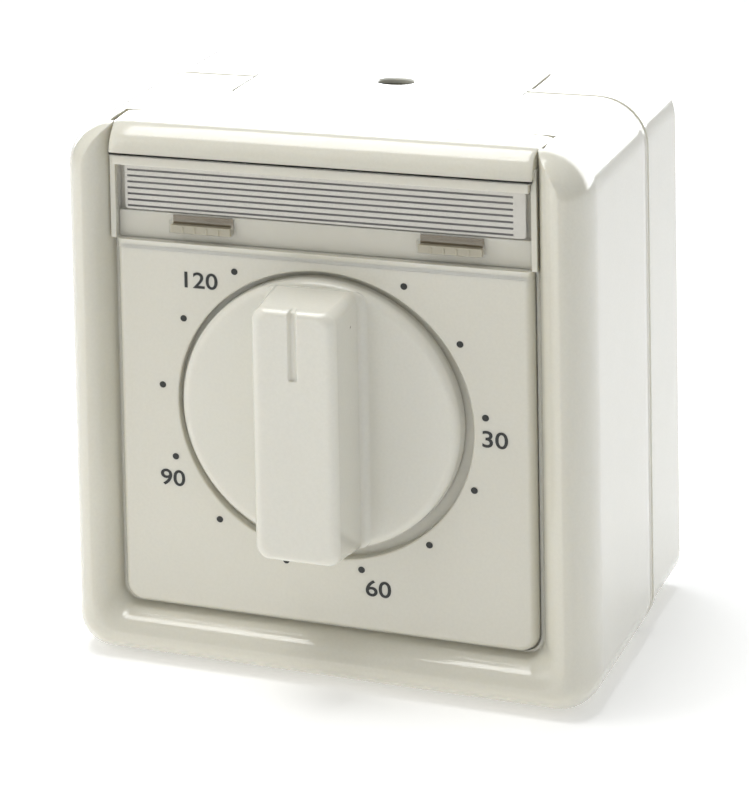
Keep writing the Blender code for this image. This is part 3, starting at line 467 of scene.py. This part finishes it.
CREAM = (0.745, 0.725, 0.635)
HOUSING = plastic("housing plastic", CREAM, rough=0.13, grain=0.06)
PLATE = plastic("dial plate plastic", (0.735, 0.715, 0.63), rough=0.2, edge_r=0.15 * MM, specks=0.6)
KNOB = plastic("knob plastic", (0.765, 0.75, 0.675), rough=0.2, edge_r=0.3 * MM, specks=0.8)
# Dark brown plastic for the boxes in the pry slots: painted shadow.
SLIT_SHADOW = plastic("painted slit shadow", (0.26, 0.21, 0.14), rough=0.4)
CATCH = plastic("catch plastic", (0.45, 0.42, 0.33), rough=0.18, edge_r=0.05 * MM)
CLEAR = clear("clear window plastic", (0.86, 0.845, 0.78))
CARD = paper("label card", (0.82, 0.80, 0.75))
LABEL_INK = ink("label ink", (0.045, 0.04, 0.045))
DIAL_INK = ink("dial ink", (0.02, 0.022, 0.02))
SEAL = rubber("seal rubber", (0.05, 0.05, 0.05))
SLOT_LOOKS = {
    "housing_plastic": HOUSING,
    "knob_plastic": KNOB,
    "clear_plastic": CLEAR,
    "label_paper": CARD,
    "seal_rubber": SEAL,
    "plated_steel": metal("plated steel", (0.70, 0.70, 0.69), 0.28, (1.0, 12.0, 1.0)),
    "spring_steel": metal("spring steel", (0.38, 0.39, 0.42), 0.22, (1.0, 10.0, 1.0)),
    "brass": metal("brass", (0.75, 0.56, 0.26), 0.25, (6.0, 1.0, 1.0)),
    "phosphor_bronze": metal("phosphor bronze", (0.66, 0.42, 0.24), 0.27, (1.0, 1.0, 8.0)),
    "contact_silver": metal("contact silver", (0.86, 0.85, 0.82), 0.2, (1.0, 1.0, 1.0), 0.2),
    "dark_thermoset": plastic("dark thermoset", (0.03, 0.028, 0.026), 0.4, 0.15 * MM, 0.3, 0.2, glow=0.0),
}


def dress(piece, look, body, slot, *replaced):
    """Gives piece its material and body, and lets it stand for the replaced nodes; slot is not used."""
    piece.data.materials.clear()
    piece.data.materials.append(look)
    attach(piece, body)
    if replaced:
        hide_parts(*replaced)
    return piece


# ---- housing ----
def outer_rings(levels):
    """Rings of the housing's outer skin; levels lists (y, inset)."""
    return [
        rounded_ring(
            y,
            HALF_X - inset,
            inset - HALF_Z,
            HALF_Z - inset,
            LOW_CORNER_R - inset,
            TOP_CORNER_R - inset,
        )
        for y, inset in levels
    ]


def channel_rings(levels):
    """Rings of the recess between the rails, open at the top; levels lists (y, spread, radius)."""
    rings = []
    for y, spread, radius in levels:
        low = RAIL_FOOT_Z - spread
        half_x = RAIL_FOOT_X + spread
        rings.append(rounded_ring(y, half_x, low, HALF_Z + 10 * MM, radius, 0.5 * MM))
    return rings


def shell_cavity(name, wall, y_range):
    """Cutter for the inside of a shell with walls so thick."""
    rings = [
        rounded_ring(y, HALF_X - wall, wall - HALF_Z, HALF_Z - wall, 3 * MM, 4 * MM, 5)
        for y in y_range
    ]
    return loft(name, rings)


def entry_slot(side, y_range):
    """Cutter for the cable entry at the top (side 1) or the bottom (side -1)."""
    z_range = sorted(side * z for z in ENTRY_SLOT_Z)
    return box("entry_slot", (-ENTRY_SLOT_HALF_X, ENTRY_SLOT_HALF_X), y_range, z_range)


def make_hood():
    """Deep cover: flat sides, a big elliptical front rounding, and pillow-shaped rails."""
    levels = [(SEAM_Y - 0.02 * MM, 0.25 * MM), (SEAM_Y - 0.2 * MM, 0.06 * MM), (SEAM_Y - 0.4 * MM, 0.0)]
    levels += [(SEAM_Y - 0.65 * MM, 0.0), (SEAM_Y - 0.9 * MM, 0.12 * MM), (SEAM_Y - 2.2 * MM, 0.02 * MM)]
    levels += [(SEAM_Y - 4.0 * MM, 0.0), (SIDE_FLAT_Y, 0.0)]
    arc_steps = 14
    for i in range(1, arc_steps + 1):
        a = math.radians(90 * i / arc_steps)
        y = SIDE_FLAT_Y + (FRONT_Y - SIDE_FLAT_Y) * math.sin(a)
        levels.append((y, RAIL_INSET * (1 - math.cos(a))))
    hood = loft("front_hood_skin", outer_rings(levels))
    # inner sides of the rails: level, spread past the foot, corner radius
    channel = (
        (GROOVE_FLOOR_Y, 0.0, 2.2 * MM),
        (FRONT_Y + 3.20 * MM, 0.33 * MM, 2.3 * MM),
        (FRONT_Y + 2.20 * MM, 0.73 * MM, 2.5 * MM),
        (FRONT_Y + 1.40 * MM, 1.16 * MM, 2.7 * MM),
        (FRONT_Y + 0.80 * MM, 1.65 * MM, 2.9 * MM),
        (FRONT_Y + 0.40 * MM, 2.15 * MM, 3.1 * MM),
        (FRONT_Y + 0.15 * MM, 2.65 * MM, 3.3 * MM),
        (FRONT_Y + 0.02 * MM, 3.20 * MM, 3.5 * MM),
        (FRONT_Y - 0.20 * MM, 4.60 * MM, 4.0 * MM),
    )
    bay = [
        rounded_ring(y, RAIL_FOOT_X + spread, LABEL_BAY_Z, HALF_Z + 10 * MM, 0.4 * MM, 0.4 * MM)
        for y, spread in ((SEAT_Y, -0.1 * MM), (GROOVE_FLOOR_Y - 0.1 * MM, 0.1 * MM))
    ]
    plate_seat = [
        rounded_ring(y, PLATE_HALF_X + 0.1 * MM, PLATE_LOW_Z - 0.1 * MM, HALF_Z, 2.2 * MM, 0.4 * MM)
        for y in (SEAT_Y, GROOVE_FLOOR_Y - 0.1 * MM)
    ]
    notch_half = CAP_TOP_HALF_X + 0.1 * MM
    cut(
        hood,
        loft("channel", channel_rings(channel)),
        loft("label_bay", bay),
        loft("plate_seat", plate_seat),
        box(
            "cap_notch",
            (-notch_half, notch_half),
            (SEAT_Y - 0.4 * MM, CAP_NOTCH_Y),
            (CAP_LOW.z - 0.1 * MM, HALF_Z + 5 * MM),
        ),
        shell_cavity("cavity", HOOD_WALL, (CAVITY_FRONT_Y, SEAM_Y + 5 * MM)),
        box("opening", (-OPENING_HALF_X, OPENING_HALF_X), (FRONT_Y - 5 * MM, -40 * MM), OPENING_Z),
    )
    entry_y = (ENTRY_LOW.y - 0.25 * MM, SEAM_Y + 5 * MM)
    tools = [entry_slot(side, entry_y) for side in (-1, 1)]
    for x, z in HOOD_SCREWS:
        tools.append(rod("screw_hole", (x, -52 * MM, z), 1.7 * MM, 12 * MM, sides=32))
        tools.append(rod("screw_sink", (x, -55.8 * MM, z), 3.1 * MM, 6 * MM, sides=48))
    cut(hood, *tools)
    return dress(smooth(hood), HOUSING, "housing", "housing_plastic", "front_hood")


def back_pocket(x, z):
    """Cutter for one shallow pocket of the back."""
    outline = rounded_ring(0, POCKET_HALF_X, -POCKET_HALF_Z, POCKET_HALF_Z, 2 * MM, 2 * MM, 5)
    rings = [[(px + x, y, pz + z) for px, _, pz in outline] for y in (-POCKET_DEPTH, 2 * MM)]
    return loft("back_pocket", rings)


def make_rear_box():
    """Rear box: a raised lip at the joint, wall-fixing slots and six shallow back pockets."""
    levels = [
        (LIP_Y[0] + 0.02 * MM, 0.45 * MM),
        (LIP_Y[0] + 0.3 * MM, 0.02 * MM),
        (LIP_Y[1] - 0.5 * MM, 0.02 * MM),
        (LIP_Y[1], REAR_STEP),
        (-0.6 * MM, REAR_STEP),
        (-0.25 * MM, REAR_STEP + 0.12 * MM),
        (0.0, REAR_STEP + 0.55 * MM),
    ]
    rear = loft("rear_box_skin", outer_rings(levels))
    tools = [shell_cavity("rear_cavity", REAR_WALL, (SEAM_Y - 5 * MM, -2.2 * MM))]
    for side in (-1, 1):
        z = side * WALL_FIXING_Z
        tools.append(entry_slot(side, (SEAM_Y - 5 * MM, ENTRY_HIGH.y + 0.3 * MM)))
        tools.append(rod("fixing", (0, 0, z), 2.3 * MM, 10 * MM))
        tools.append(rod("fixing_sink", (0, 0, z), 4.6 * MM, 1.2 * MM))
        slot_z = (z - 1.7 * MM, z + 1.7 * MM)
        tools.append(box("fixing_slot", (-5.5 * MM, 5.5 * MM), (-5 * MM, 5 * MM), slot_z))
    for column in (-1, 1):
        for row in (-1, 0, 1):
            tools.append(back_pocket(column * POCKET_COLUMN_X, row * POCKET_ROW_Z))
    cut(rear, *tools)
    posts = []
    frame_posts = (-FRAME_POST_X, FRAME_POST_X)
    for x in frame_posts:
        posts.append(rod("frame_post", (x, -23.0 * MM, DIAL_Z), 3.2 * MM, 43 * MM, sides=40))
    for x, z in HOOD_SCREWS:
        posts.append(rod("hood_post", (x, -26.3 * MM, z), 3.0 * MM, 50.8 * MM, sides=40))
    join(rear, *posts)
    bores = [rod("frame_bore", (x, -45 * MM, DIAL_Z), 1.6 * MM, 24 * MM) for x in frame_posts]
    bores += [rod("hood_bore", (x, -48 * MM, z), 1.5 * MM, 20 * MM) for x, z in HOOD_SCREWS]
    cut(rear, *bores)
    return dress(smooth(rear), HOUSING, "housing", "housing_plastic", "rear_box")


def make_cap():
    """Rounded strip that turns from the front onto the top."""
    front, top = CAP_LOW.y + CAP_SET_BACK, CAP_HIGH.z
    rear, thick, bend = CAP_HIGH.y, 1.9 * MM, 4.2 * MM
    low = CAP_LOW.z + CAP_RAISED
    section = [(front + 0.3 * MM, low), (front + 0.08 * MM, low + 0.09 * MM), (front, low + 0.3 * MM)]
    steps = 12
    for i in range(steps + 1):
        a = math.radians(90 * i / steps)
        section.append((front + bend - bend * math.cos(a), top - bend + bend * math.sin(a)))
    section += [(rear - 0.2 * MM, top), (rear, top - 0.2 * MM), (rear, top - thick)]
    inner_bend = bend - thick
    for i in range(steps, -1, -1):
        a = math.radians(90 * i / steps)
        section.append((front + bend - inner_bend * math.cos(a), top - bend + inner_bend * math.sin(a)))
    section.append((front + thick, low))
    middle = Vector((0, front + bend, top - bend))
    rings = []
    for side in (-1, 1):
        levels = [(0.0, 0.92), (0.15 * MM, 0.95), (0.45 * MM, 0.97)]
        levels += [(1.0 * MM, 0.985), (1.8 * MM, 0.996), (2.8 * MM, 1.0)]
        if side > 0:
            levels.reverse()
        for inset, shrink in levels:
            ring = []
            for y, z in section:
                back = min(max((y - CAP_WIDENS_Y[0]) / (CAP_WIDENS_Y[1] - CAP_WIDENS_Y[0]), 0.0), 1.0)
                half = CAP_FRONT_HALF_X + (CAP_TOP_HALF_X - CAP_FRONT_HALF_X) * back
                near = middle.y + (y - middle.y) * shrink
                ring.append((side * (half - inset), near, middle.z + (z - middle.z) * shrink))
            rings.append(ring)
    cap = loft("label_cap_strip", rings)
    return dress(smooth(cap), HOUSING, "housing", "housing_plastic", "label_cap")


def make_dial_plate():
    """Dial plate: rounded lower corners, a rounded rim and a recess for the knob."""
    half, low, top = PLATE_HALF_X, PLATE_LOW_Z, PLATE_HIGH.z
    rings = [rounded_ring(PLATE_HIGH.y, half, low, top, PLATE_CORNER_R, 0.5 * MM)]
    steps = 9
    for i in range(steps + 1):
        a = math.radians(90 * i / steps)
        y = DIAL_FACE_Y + PLATE_RIM_DEPTH * (1 - math.sin(a))
        inset = PLATE_RIM_INSET * (1 - math.cos(a))
        upper = top - inset * 0.25
        ring = rounded_ring(y, half - inset, low + inset, upper, PLATE_CORNER_R - inset, 0.5 * MM)
        rings.append(ring)
    plate = loft("dial_plate_face", rings)
    recess = [
        (DIAL_FACE_Y - 1 * MM, 0.0),
        (DIAL_FACE_Y - 1 * MM, RECESS_R + 0.35 * MM),
        (DIAL_FACE_Y, RECESS_R + 0.15 * MM),
        (DIAL_FACE_Y + 0.12 * MM, RECESS_R + 0.02 * MM),
        (DIAL_FACE_Y + RECESS_DEPTH, RECESS_R),
        (DIAL_FACE_Y + RECESS_DEPTH, 0.0),
    ]
    cut(
        plate,
        turned("recess", recess, (RECESS_OFF_CENTRE, 0, DIAL_Z - RECESS_OFF_CENTRE)),
        rod("hub_hole", (0, DIAL_FACE_Y, DIAL_Z), HUB_R + 0.4 * MM, 8 * MM),
    )
    return dress(smooth(plate), PLATE, "housing", "housing_plastic", "dial_plate")


def make_step_band():
    """Hollow moulding between the dial plate and the label window."""
    low, high = PLATE_HIGH.z - 0.6 * MM, WINDOW_LOW.z - 0.06 * MM
    section = [(SEAT_Y - 0.3 * MM, low), (DIAL_FACE_Y + 0.02 * MM, low)]
    steps = 10
    for i in range(steps + 1):
        share = i / steps
        cove = 0.12 * MM * math.sin(math.pi * share) ** 2
        section.append((DIAL_FACE_Y - 0.01 * MM - 0.15 * MM * share + cove, low + (high - low) * share))
    section += [(SEAT_Y - 0.3 * MM, high)]
    ends = ((0.0, 1.0 * MM), (0.2 * MM, 0.45 * MM), (0.5 * MM, 0.12 * MM), (0.95 * MM, 0.0))
    places = [(inset - PLATE_HALF_X, set_back) for inset, set_back in ends]
    places += [(PLATE_HALF_X - inset, set_back) for inset, set_back in reversed(ends)]
    rings = [[(x, y + set_back, z) for y, z in section] for x, set_back in places]
    band = loft("step_band", rings)
    return dress(smooth(band), PLATE, "housing", "housing_plastic")


def make_entry(name, outer_z):
    """Slide-in cable entry with softened edges: a hole at the top, a knockout at the bottom."""
    side = 1 if outer_z > 0 else -1
    low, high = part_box(name)
    middle_y = (ENTRY_LOW.y + ENTRY_HIGH.y) / 2
    rings = []
    for depth, inset in ((0.0, 0.06), (0.06, -0.1), (0.2, -0.15), (2.1, -0.15)):
        level = outer_z - side * depth * MM
        half_x = high.x - inset * MM
        half_y = (high.y - low.y) / 2 - inset * MM
        ring = rounded_ring(0, half_x, -half_y, half_y, 0.9 * MM, 0.9 * MM, 5)
        rings.append([(px, middle_y + pz, level) for px, _, pz in ring])
    entry = loft(f"{name}_panel", rings)
    if side > 0:
        hole_at = (CABLE_HOLE_X, CABLE_HOLE_Y, outer_z)
        cut(entry, rod("entry_hole", hole_at, CABLE_HOLE_R, 8 * MM, "Z", 96))
    else:
        deep, (inner, outer) = 0.5 * MM, KNOCKOUT_R
        groove = [(-deep, inner), (-deep, outer), (deep, outer), (deep, inner), (-deep, inner)]
        cut(entry, turned("entry_ring", groove, (0.0, CABLE_HOLE_Y, outer_z), along="Z"))
    return dress(smooth(entry), HOUSING, "housing", "housing_plastic", name)


def make_hole_lip():
    """Thin flexible lip inside the top entry's hole."""
    profile = ((0.0, 2.65), (0.0, 2.46), (0.12, 2.36), (0.65, 2.36), (0.8, 2.5), (0.8, 2.65), (0.0, 2.65))
    top = HALF_Z - 0.05 * MM
    points = [(t * MM, r * MM) for t, r in profile]
    lip = turned("cable_hole_lip", points, (0, 0, 0), along="Z", sides=96)
    for vert in lip.data.vertices:
        vert.co = (vert.co.x + CABLE_HOLE_X, vert.co.y + CABLE_HOLE_Y, top - abs(vert.co.z))
    lip.data.flip_normals()
    return dress(smooth(lip), HOUSING, "housing", "housing_plastic")


# ---- label ----
def make_window():
    """Clear cover with softened front edges and two pry slots."""
    front, back = WINDOW_LOW.y, WINDOW_LOW.y + 1.2 * MM
    low, high, half = WINDOW_LOW.z, WINDOW_HIGH.z, WINDOW_HIGH.x
    levels = [(back, 0.0), (front + 0.35 * MM, 0.0), (front + 0.1 * MM, 0.1 * MM), (front, 0.35 * MM)]
    rings = []
    for y, inset in levels:
        rings.append(rounded_ring(y, half - inset, low + inset, high - inset, 0.6 * MM, 0.55 * MM, 5))
    window = loft("label_window_clear", rings)
    tools = []
    for x in PRY_SLOTS_X:
        slot_x = (x - PRY_SLOT_HALF_X, x + PRY_SLOT_HALF_X)
        tools.append(box("pry_slot", slot_x, (front - 2 * MM, back + 2 * MM), PRY_SLOT_Z))
    cut(window, *tools)
    return dress(smooth(window), CLEAR, "window", "clear_plastic", "label_window")


def make_card():
    """Label card with a plain white field; the ruled lines are separate ink."""
    low, high = CARD_LOW, CARD_HIGH
    levels = (high.y, low.y)
    rings = [rounded_ring(y, high.x, low.z, high.z, 0.4 * MM, 0.4 * MM, 4) for y in levels]
    card = loft("label_card_sheet", rings)
    return dress(card, CARD, "housing", "label_paper", "label_card")


def make_card_lines():
    """Ruled lines on the card, as thin strips of ink."""
    bm = bmesh.new()
    line_y = (CARD_LOW.y - INK_THICK, CARD_LOW.y + 0.01 * MM)
    for i in range(LINE_COUNT):
        z = LINE_TOP_Z - LINE_SPACING * i
        corners = (LINE_X, line_y, (z - LINE_THICK / 2, z + LINE_THICK / 2))
        made = bmesh.ops.create_cube(bm, size=1.0)["verts"]
        for axis, (low, high) in enumerate(corners):
            for vert in made:
                vert.co[axis] = (low + high) / 2 + vert.co[axis] * (high - low)
    return dress(new_object("label_lines", bm), LABEL_INK, "housing", "label_paper")


def make_backing():
    """Beige carrier behind the card, with a strip over the window and one beside each end."""
    half = WINDOW_HIGH.x
    back_y = (WINDOW_LOW.y + 1.6 * MM, SEAT_Y)
    backing = box("label_carrier", (-half, half), back_y, (WINDOW_LOW.z, 23.8 * MM))
    front_y = (CAP_LOW.y + CAP_SET_BACK + 0.3 * MM, SEAT_Y)
    over_z = (WINDOW_HIGH.z + 0.06 * MM, CAP_LOW.z + CAP_RAISED + 1 * MM)
    pieces = [box("over", (-half, half), front_y, over_z)]
    beside_y = (WINDOW_LOW.y + 0.35 * MM, SEAT_Y)
    for side in (-1, 1):
        x = sorted((side * (half + 0.1 * MM), side * (RAIL_FOOT_X + 0.1 * MM)))
        pieces.append(box("beside", x, beside_y, (WINDOW_LOW.z, 33.0 * MM)))
    join(backing, *pieces)
    return dress(backing, PLATE, "housing", "housing_plastic")


def make_catches():
    """A ribbed catch in each pry slot, with a dark brown box above it as painted shadow in the slit."""
    half = PRY_SLOT_HALF_X - 0.15 * MM
    catch_y = (WINDOW_LOW.y + 0.12 * MM, WINDOW_LOW.y + 2 * MM)
    rib_y = (catch_y[0] - 0.1 * MM, catch_y[0] + 0.3 * MM)
    rib_z = (PRY_CATCH_Z[0], PRY_CATCH_Z[1] - 0.2 * MM)
    slit_shadow_y = (WINDOW_LOW.y + 1.25 * MM, WINDOW_LOW.y + 2 * MM)
    slit_shadow_z = (PRY_CATCH_Z[1], PRY_SLOT_Z[1] + 0.5 * MM)
    for index, x in enumerate(PRY_SLOTS_X):
        catch = box(f"label_catch_{index}", (x - half, x + half), catch_y, PRY_CATCH_Z)
        ribs = []
        for i in range(PRY_RIBS):
            at = x + half * (2 * (i + 1) / (PRY_RIBS + 1) - 1)
            ribs.append(box("rib", (at - 0.12 * MM, at + 0.12 * MM), rib_y, rib_z))
        join(catch, *ribs)
        # Dark box in the slit above the catch: painted shadow of the gap.
        slit_shadow = box(f"label_slit_shadow_{index}", (x - half, x + half), slit_shadow_y, slit_shadow_z)
        dress(slit_shadow, SLIT_SHADOW, "housing", "housing_plastic")
        rounded = catch.modifiers.new("rounded", "BEVEL")
        rounded.width, rounded.segments, rounded.limit_method = 0.09 * MM, 3, "ANGLE"
        bake(catch)
        dress(smooth(catch), CATCH, "housing", "housing_plastic")


# ---- dial printing ----
def make_dots():
    bm = bmesh.new()
    for i in range(DOT_COUNT):
        a = math.radians(DOT_START + DOT_STEP * i)
        x = DOT_CIRCLE_R * math.sin(a)
        z = DIAL_Z + DOT_CIRCLE_R * math.cos(a)
        turn = Matrix.Rotation(math.radians(-90), 4, "X")
        where = Matrix.Translation((x, DIAL_FACE_Y, z)) @ turn
        bmesh.ops.create_cone(
            bm,
            cap_ends=True,
            segments=32,
            radius1=DOT_R,
            radius2=DOT_R,
            depth=2 * INK_THICK,
            matrix=where,
        )
    return dress(new_object("dial_dots", bm), DIAL_INK, "housing", "housing_plastic")


def make_numbers():
    for word, (x, z) in NUMBERS.items():
        curve = bpy.data.curves.new(f"number_{word}", "FONT")
        curve.body = word
        curve.size = NUMBER_SIZE
        curve.align_x, curve.align_y = "CENTER", "CENTER"
        curve.extrude = INK_THICK
        curve.offset = NUMBER_BOLD
        curve.resolution_u = 6
        text = bpy.data.objects.new(f"text_{word}", curve)
        bpy.context.scene.collection.objects.link(text)
        text.location = (x, DIAL_FACE_Y, DIAL_Z + z)
        text.rotation_euler = (math.radians(90), 0, 0)
        text.scale = (NUMBER_WIDE, 1.0, 1.0)
        bpy.context.view_layer.update()
        depsgraph = bpy.context.evaluated_depsgraph_get()
        mesh = bpy.data.meshes.new_from_object(text.evaluated_get(depsgraph))
        mesh.transform(text.matrix_world)
        bpy.data.objects.remove(text, do_unlink=True)
        made = bpy.data.objects.new(f"dial_number_{word}", mesh)
        bpy.context.scene.collection.objects.link(made)
        dress(made, DIAL_INK, "housing", "housing_plastic")


# ---- knob ----
def bar_ring(y, half_x, end_r, corner_r, steps=10):
    """The bar's outline at level y: straight sides, ends that follow the disc's circle."""
    ring = rounded_ring(y, half_x, -end_r, end_r, corner_r, corner_r, steps)
    points = []
    for x, level, z in ring:
        bow = math.sqrt(end_r**2 - x**2) / end_r
        points.append((x, level, DIAL_Z + z * bow))
    return points


def pointer_section(depth):
    """Side view of the groove's cutter, so deep under the bar's front and under its upper end."""
    front_floor = BAR_FRONT_Y + depth
    end_floor = DIAL_Z + BAR_FRONT_END_R - depth
    rear_floor = DIAL_Z + BAR_END_R - depth
    low = DIAL_Z + POINTER_LOW_Z
    return [
        (BAR_FRONT_Y - 3 * MM, low),
        (front_floor - 0.1 * MM, low),
        (front_floor, low + 0.4 * MM),
        (front_floor, end_floor - 1.3 * MM),
        (front_floor + 0.35 * MM, end_floor - 0.4 * MM),
        (front_floor + 1.2 * MM, end_floor),
        (DISC_FACE_Y - 0.6 * MM, rear_floor),
        (DISC_FACE_Y, rear_floor + 0.8 * MM),
        (DISC_FACE_Y, DIAL_Z + BAR_END_R + 6 * MM),
        (BAR_FRONT_Y - 3 * MM, DIAL_Z + BAR_END_R + 6 * MM),
    ]


def make_knob():
    """Disc with a sloping rim, and a bar with soft edges, hollow fillets and a pointer groove."""
    rim = [(DISC_FACE_Y, 0.0)]
    edge_steps = 10
    for i in range(edge_steps + 1):
        a = math.radians(90 * i / edge_steps)
        y = DISC_FACE_Y + DISC_EDGE_R * (1 - math.cos(a))
        rim.append((y, DISC_FACE_R + DISC_EDGE_R * math.sin(a)))
    back = DIAL_FACE_Y + RECESS_DEPTH - 0.3 * MM
    rim += [
        (back, DISC_RIM_R),
        (back, HUB_R),
        (KNOB_HIGH.y, HUB_R),
        (KNOB_HIGH.y, 0.0),
    ]
    knob = turned("knob_disc_and_bar", rim, (0, 0, DIAL_Z), sides=160)
    rings = []
    base = DISC_FACE_Y + 0.3 * MM
    rings.append(bar_ring(base, BAR_HALF_X + BAR_FOOT_EXTRA + BAR_FILLET_R, BAR_END_R, 1.2 * MM))
    fillet_steps = 7
    for i in range(fillet_steps + 1):
        a = math.radians(8 + 82 * i / fillet_steps)
        y = DISC_FACE_Y - BAR_FILLET_R * (1 - math.cos(a))
        spread = BAR_FILLET_R * (1 - math.sin(a))
        rings.append(bar_ring(y, BAR_HALF_X + BAR_FOOT_EXTRA + spread, BAR_END_R, 1.2 * MM))
    edge_steps = 8
    for i in range(edge_steps + 1):
        a = math.radians(90 * i / edge_steps)
        inset = BAR_EDGE_R * (1 - math.cos(a))
        y = BAR_FRONT_Y + BAR_EDGE_R * (1 - math.sin(a))
        rings.append(bar_ring(y, BAR_HALF_X - inset, BAR_FRONT_END_R - inset * 0.9, 1.3 * MM))
    join(knob, loft("bar", rings))
    groove = loft(
        "pointer_groove",
        [
            [(x, y, z) for y, z in pointer_section(depth)]
            for x, depth in (
                (-POINTER_HALF, -0.06 * MM),
                (-0.55 * POINTER_HALF, 0.8 * POINTER_DEPTH),
                (-0.3 * POINTER_HALF, POINTER_DEPTH),
                (0.3 * POINTER_HALF, POINTER_DEPTH),
                (0.55 * POINTER_HALF, 0.8 * POINTER_DEPTH),
                (POINTER_HALF, -0.06 * MM),
            )
        ],
    )
    cut(knob, groove)
    return dress(smooth(knob, 28), KNOB, "knob_and_spindle", "knob_plastic", "knob")


# ---- stage ----
ROOM_COLOUR = (0.25, 0.25, 0.245, 1.0)
BACKDROP_COLOUR = (0.42, 0.44, 0.46, 1.0)
RIGHT_COLOUR = (0.33, 0.335, 0.34, 1.0)
CEILING_COLOUR = (0.6, 0.6, 0.6, 1.0)
SIDE_PANEL_COLOUR = (2.2, 3.8, 4.4, 1.0)
UPPER_PANEL_COLOUR = (4.5, 4.6, 4.6, 1.0)


def make_stage():
    bm = bmesh.new()
    bmesh.ops.create_grid(bm, x_segments=1, y_segments=1, size=4.0)
    bmesh.ops.translate(bm, verts=bm.verts, vec=(0, 0, -HALF_Z - 0.05 * MM))
    floor = new_object("floor", bm)
    nodes = Nodes("pale floor")
    drift = nodes.span(nodes.noise(2.0), 0.3, 0.7)
    base = nodes.mix(drift, (0.90, 0.90, 0.90, 1.0), (0.92, 0.92, 0.92, 1.0))
    nodes.put(nodes.shader.inputs["Base Color"], base)
    nodes.put(nodes.shader.inputs["Roughness"], 0.9)
    nodes.put(nodes.shader.inputs["Emission Color"], (1.0, 1.0, 1.0, 1.0))
    nodes.put(nodes.shader.inputs["Emission Strength"], 0.3)
    floor.data.materials.append(nodes.material)


def make_light(name, place, size, power, colour):
    data = bpy.data.lights.new(name, "AREA")
    data.shape = "RECTANGLE"
    data.size, data.size_y = size
    data.energy = power
    data.color = colour
    lamp = bpy.data.objects.new(name, data)
    bpy.context.scene.collection.objects.link(lamp)
    lamp.location = place
    lamp.rotation_euler = (Vector((0, -0.03, 0)) - Vector(place)).to_track_quat("-Z", "Y").to_euler()


def make_world():
    """White for the camera, a soft room for diffuse light, and bright panels for reflections."""
    world = bpy.data.worlds.new("studio")
    bpy.context.scene.world = world
    world.use_nodes = True
    tree = world.node_tree
    sky = tree.nodes["Background"]
    place = tree.nodes.new("ShaderNodeTexCoord")
    split = tree.nodes.new("ShaderNodeSeparateXYZ")
    tree.links.new(place.outputs["Generated"], split.inputs[0])

    def share(axis, low, high):
        node = tree.nodes.new("ShaderNodeMapRange")
        node.inputs["From Min"].default_value = low
        node.inputs["From Max"].default_value = high
        tree.links.new(split.outputs[axis], node.inputs["Value"])
        return node.outputs[0]

    def mix(factor, first, second):
        node = tree.nodes.new("ShaderNodeMix")
        node.data_type = "RGBA"
        for socket, value in zip((node.inputs[0], node.inputs[6], node.inputs[7]), (factor, first, second)):
            if isinstance(value, bpy.types.NodeSocket):
                tree.links.new(value, socket)
            else:
                socket.default_value = value
        return node.outputs[2]

    front = mix(share("X", 0.1, 0.7), ROOM_COLOUR, RIGHT_COLOUR)
    room = mix(share("Y", -0.2, 0.4), front, BACKDROP_COLOUR)
    mirrored = mix(share("Z", 0.5, 0.7), ROOM_COLOUR, CEILING_COLOUR)
    panel = mix(share("Z", -0.18, -0.06), SIDE_PANEL_COLOUR, UPPER_PANEL_COLOUR)
    mirrored = mix(share("Y", 0.70, 0.76), mirrored, panel)
    path = tree.nodes.new("ShaderNodeLightPath")
    lit = mix(path.outputs["Is Glossy Ray"], room, mirrored)
    seen = mix(path.outputs["Is Camera Ray"], lit, (1.0, 1.0, 1.0, 1.0))
    tree.links.new(seen, sky.inputs["Color"])
    sky.inputs["Strength"].default_value = 1.0


def make_camera():
    """The picture is a crop from beside the lens axis, so the camera has a lens shift.

    The shift follows the rotation mode: the closing views set QUATERNION, which is 0, and so
    get a centred lens, while the camera's own XYZ mode, which is 1, gets the whole shift.
    """
    data = bpy.data.cameras.new("camera")
    data.sensor_width = 36.0
    data.lens = 163.56
    data.clip_start, data.clip_end = 0.01, 20.0
    camera = bpy.data.objects.new("camera", data)
    bpy.context.scene.collection.objects.link(camera)
    camera.location = (126.95 * MM, -510.3 * MM, 134.4 * MM)
    camera.rotation_mode = "XYZ"
    camera.rotation_euler = [math.radians(a) for a in (84.590, 2.770, 32.122)]
    for path, shift in (("shift_x", 1.4467), ("shift_y", -0.8177)):
        driver = data.driver_add(path).driver
        driver.type = "SCRIPTED"
        driver.expression = f"{shift} * mode"
        variable = driver.variables.new()
        variable.name = "mode"
        variable.targets[0].id = camera
        variable.targets[0].data_path = "rotation_mode"
    bpy.context.scene.camera = camera


def dress_carried_nodes():
    """Gives every CAD node the look of its material slot."""
    for entry in frame["record"]["subparts"]:
        node = NODES[entry["node"]]
        node.data.materials.clear()
        node.data.materials.append(SLOT_LOOKS[entry["material_slot"]])


dress_carried_nodes()
make_hood()
make_rear_box()
make_cap()
make_dial_plate()
make_step_band()
make_entry("cable_entry_top", HALF_Z)
make_entry("cable_entry_bottom", -HALF_Z)
make_hole_lip()
make_window()
make_card()
make_card_lines()
make_backing()
make_catches()
make_dots()
make_numbers()
make_knob()
make_stage()
make_world()
make_light("top softbox", (-0.1, -0.02, 0.8), (0.7, 0.4), 5.0, (1.0, 1.0, 0.99))
make_light("left softbox", (-0.30, -0.28, 0.16), (0.25, 0.35), 0.36, (1.0, 0.99, 0.95))
bpy.context.scene.view_settings.view_transform = "Standard"
make_camera()
bpy.context.view_layer.update()
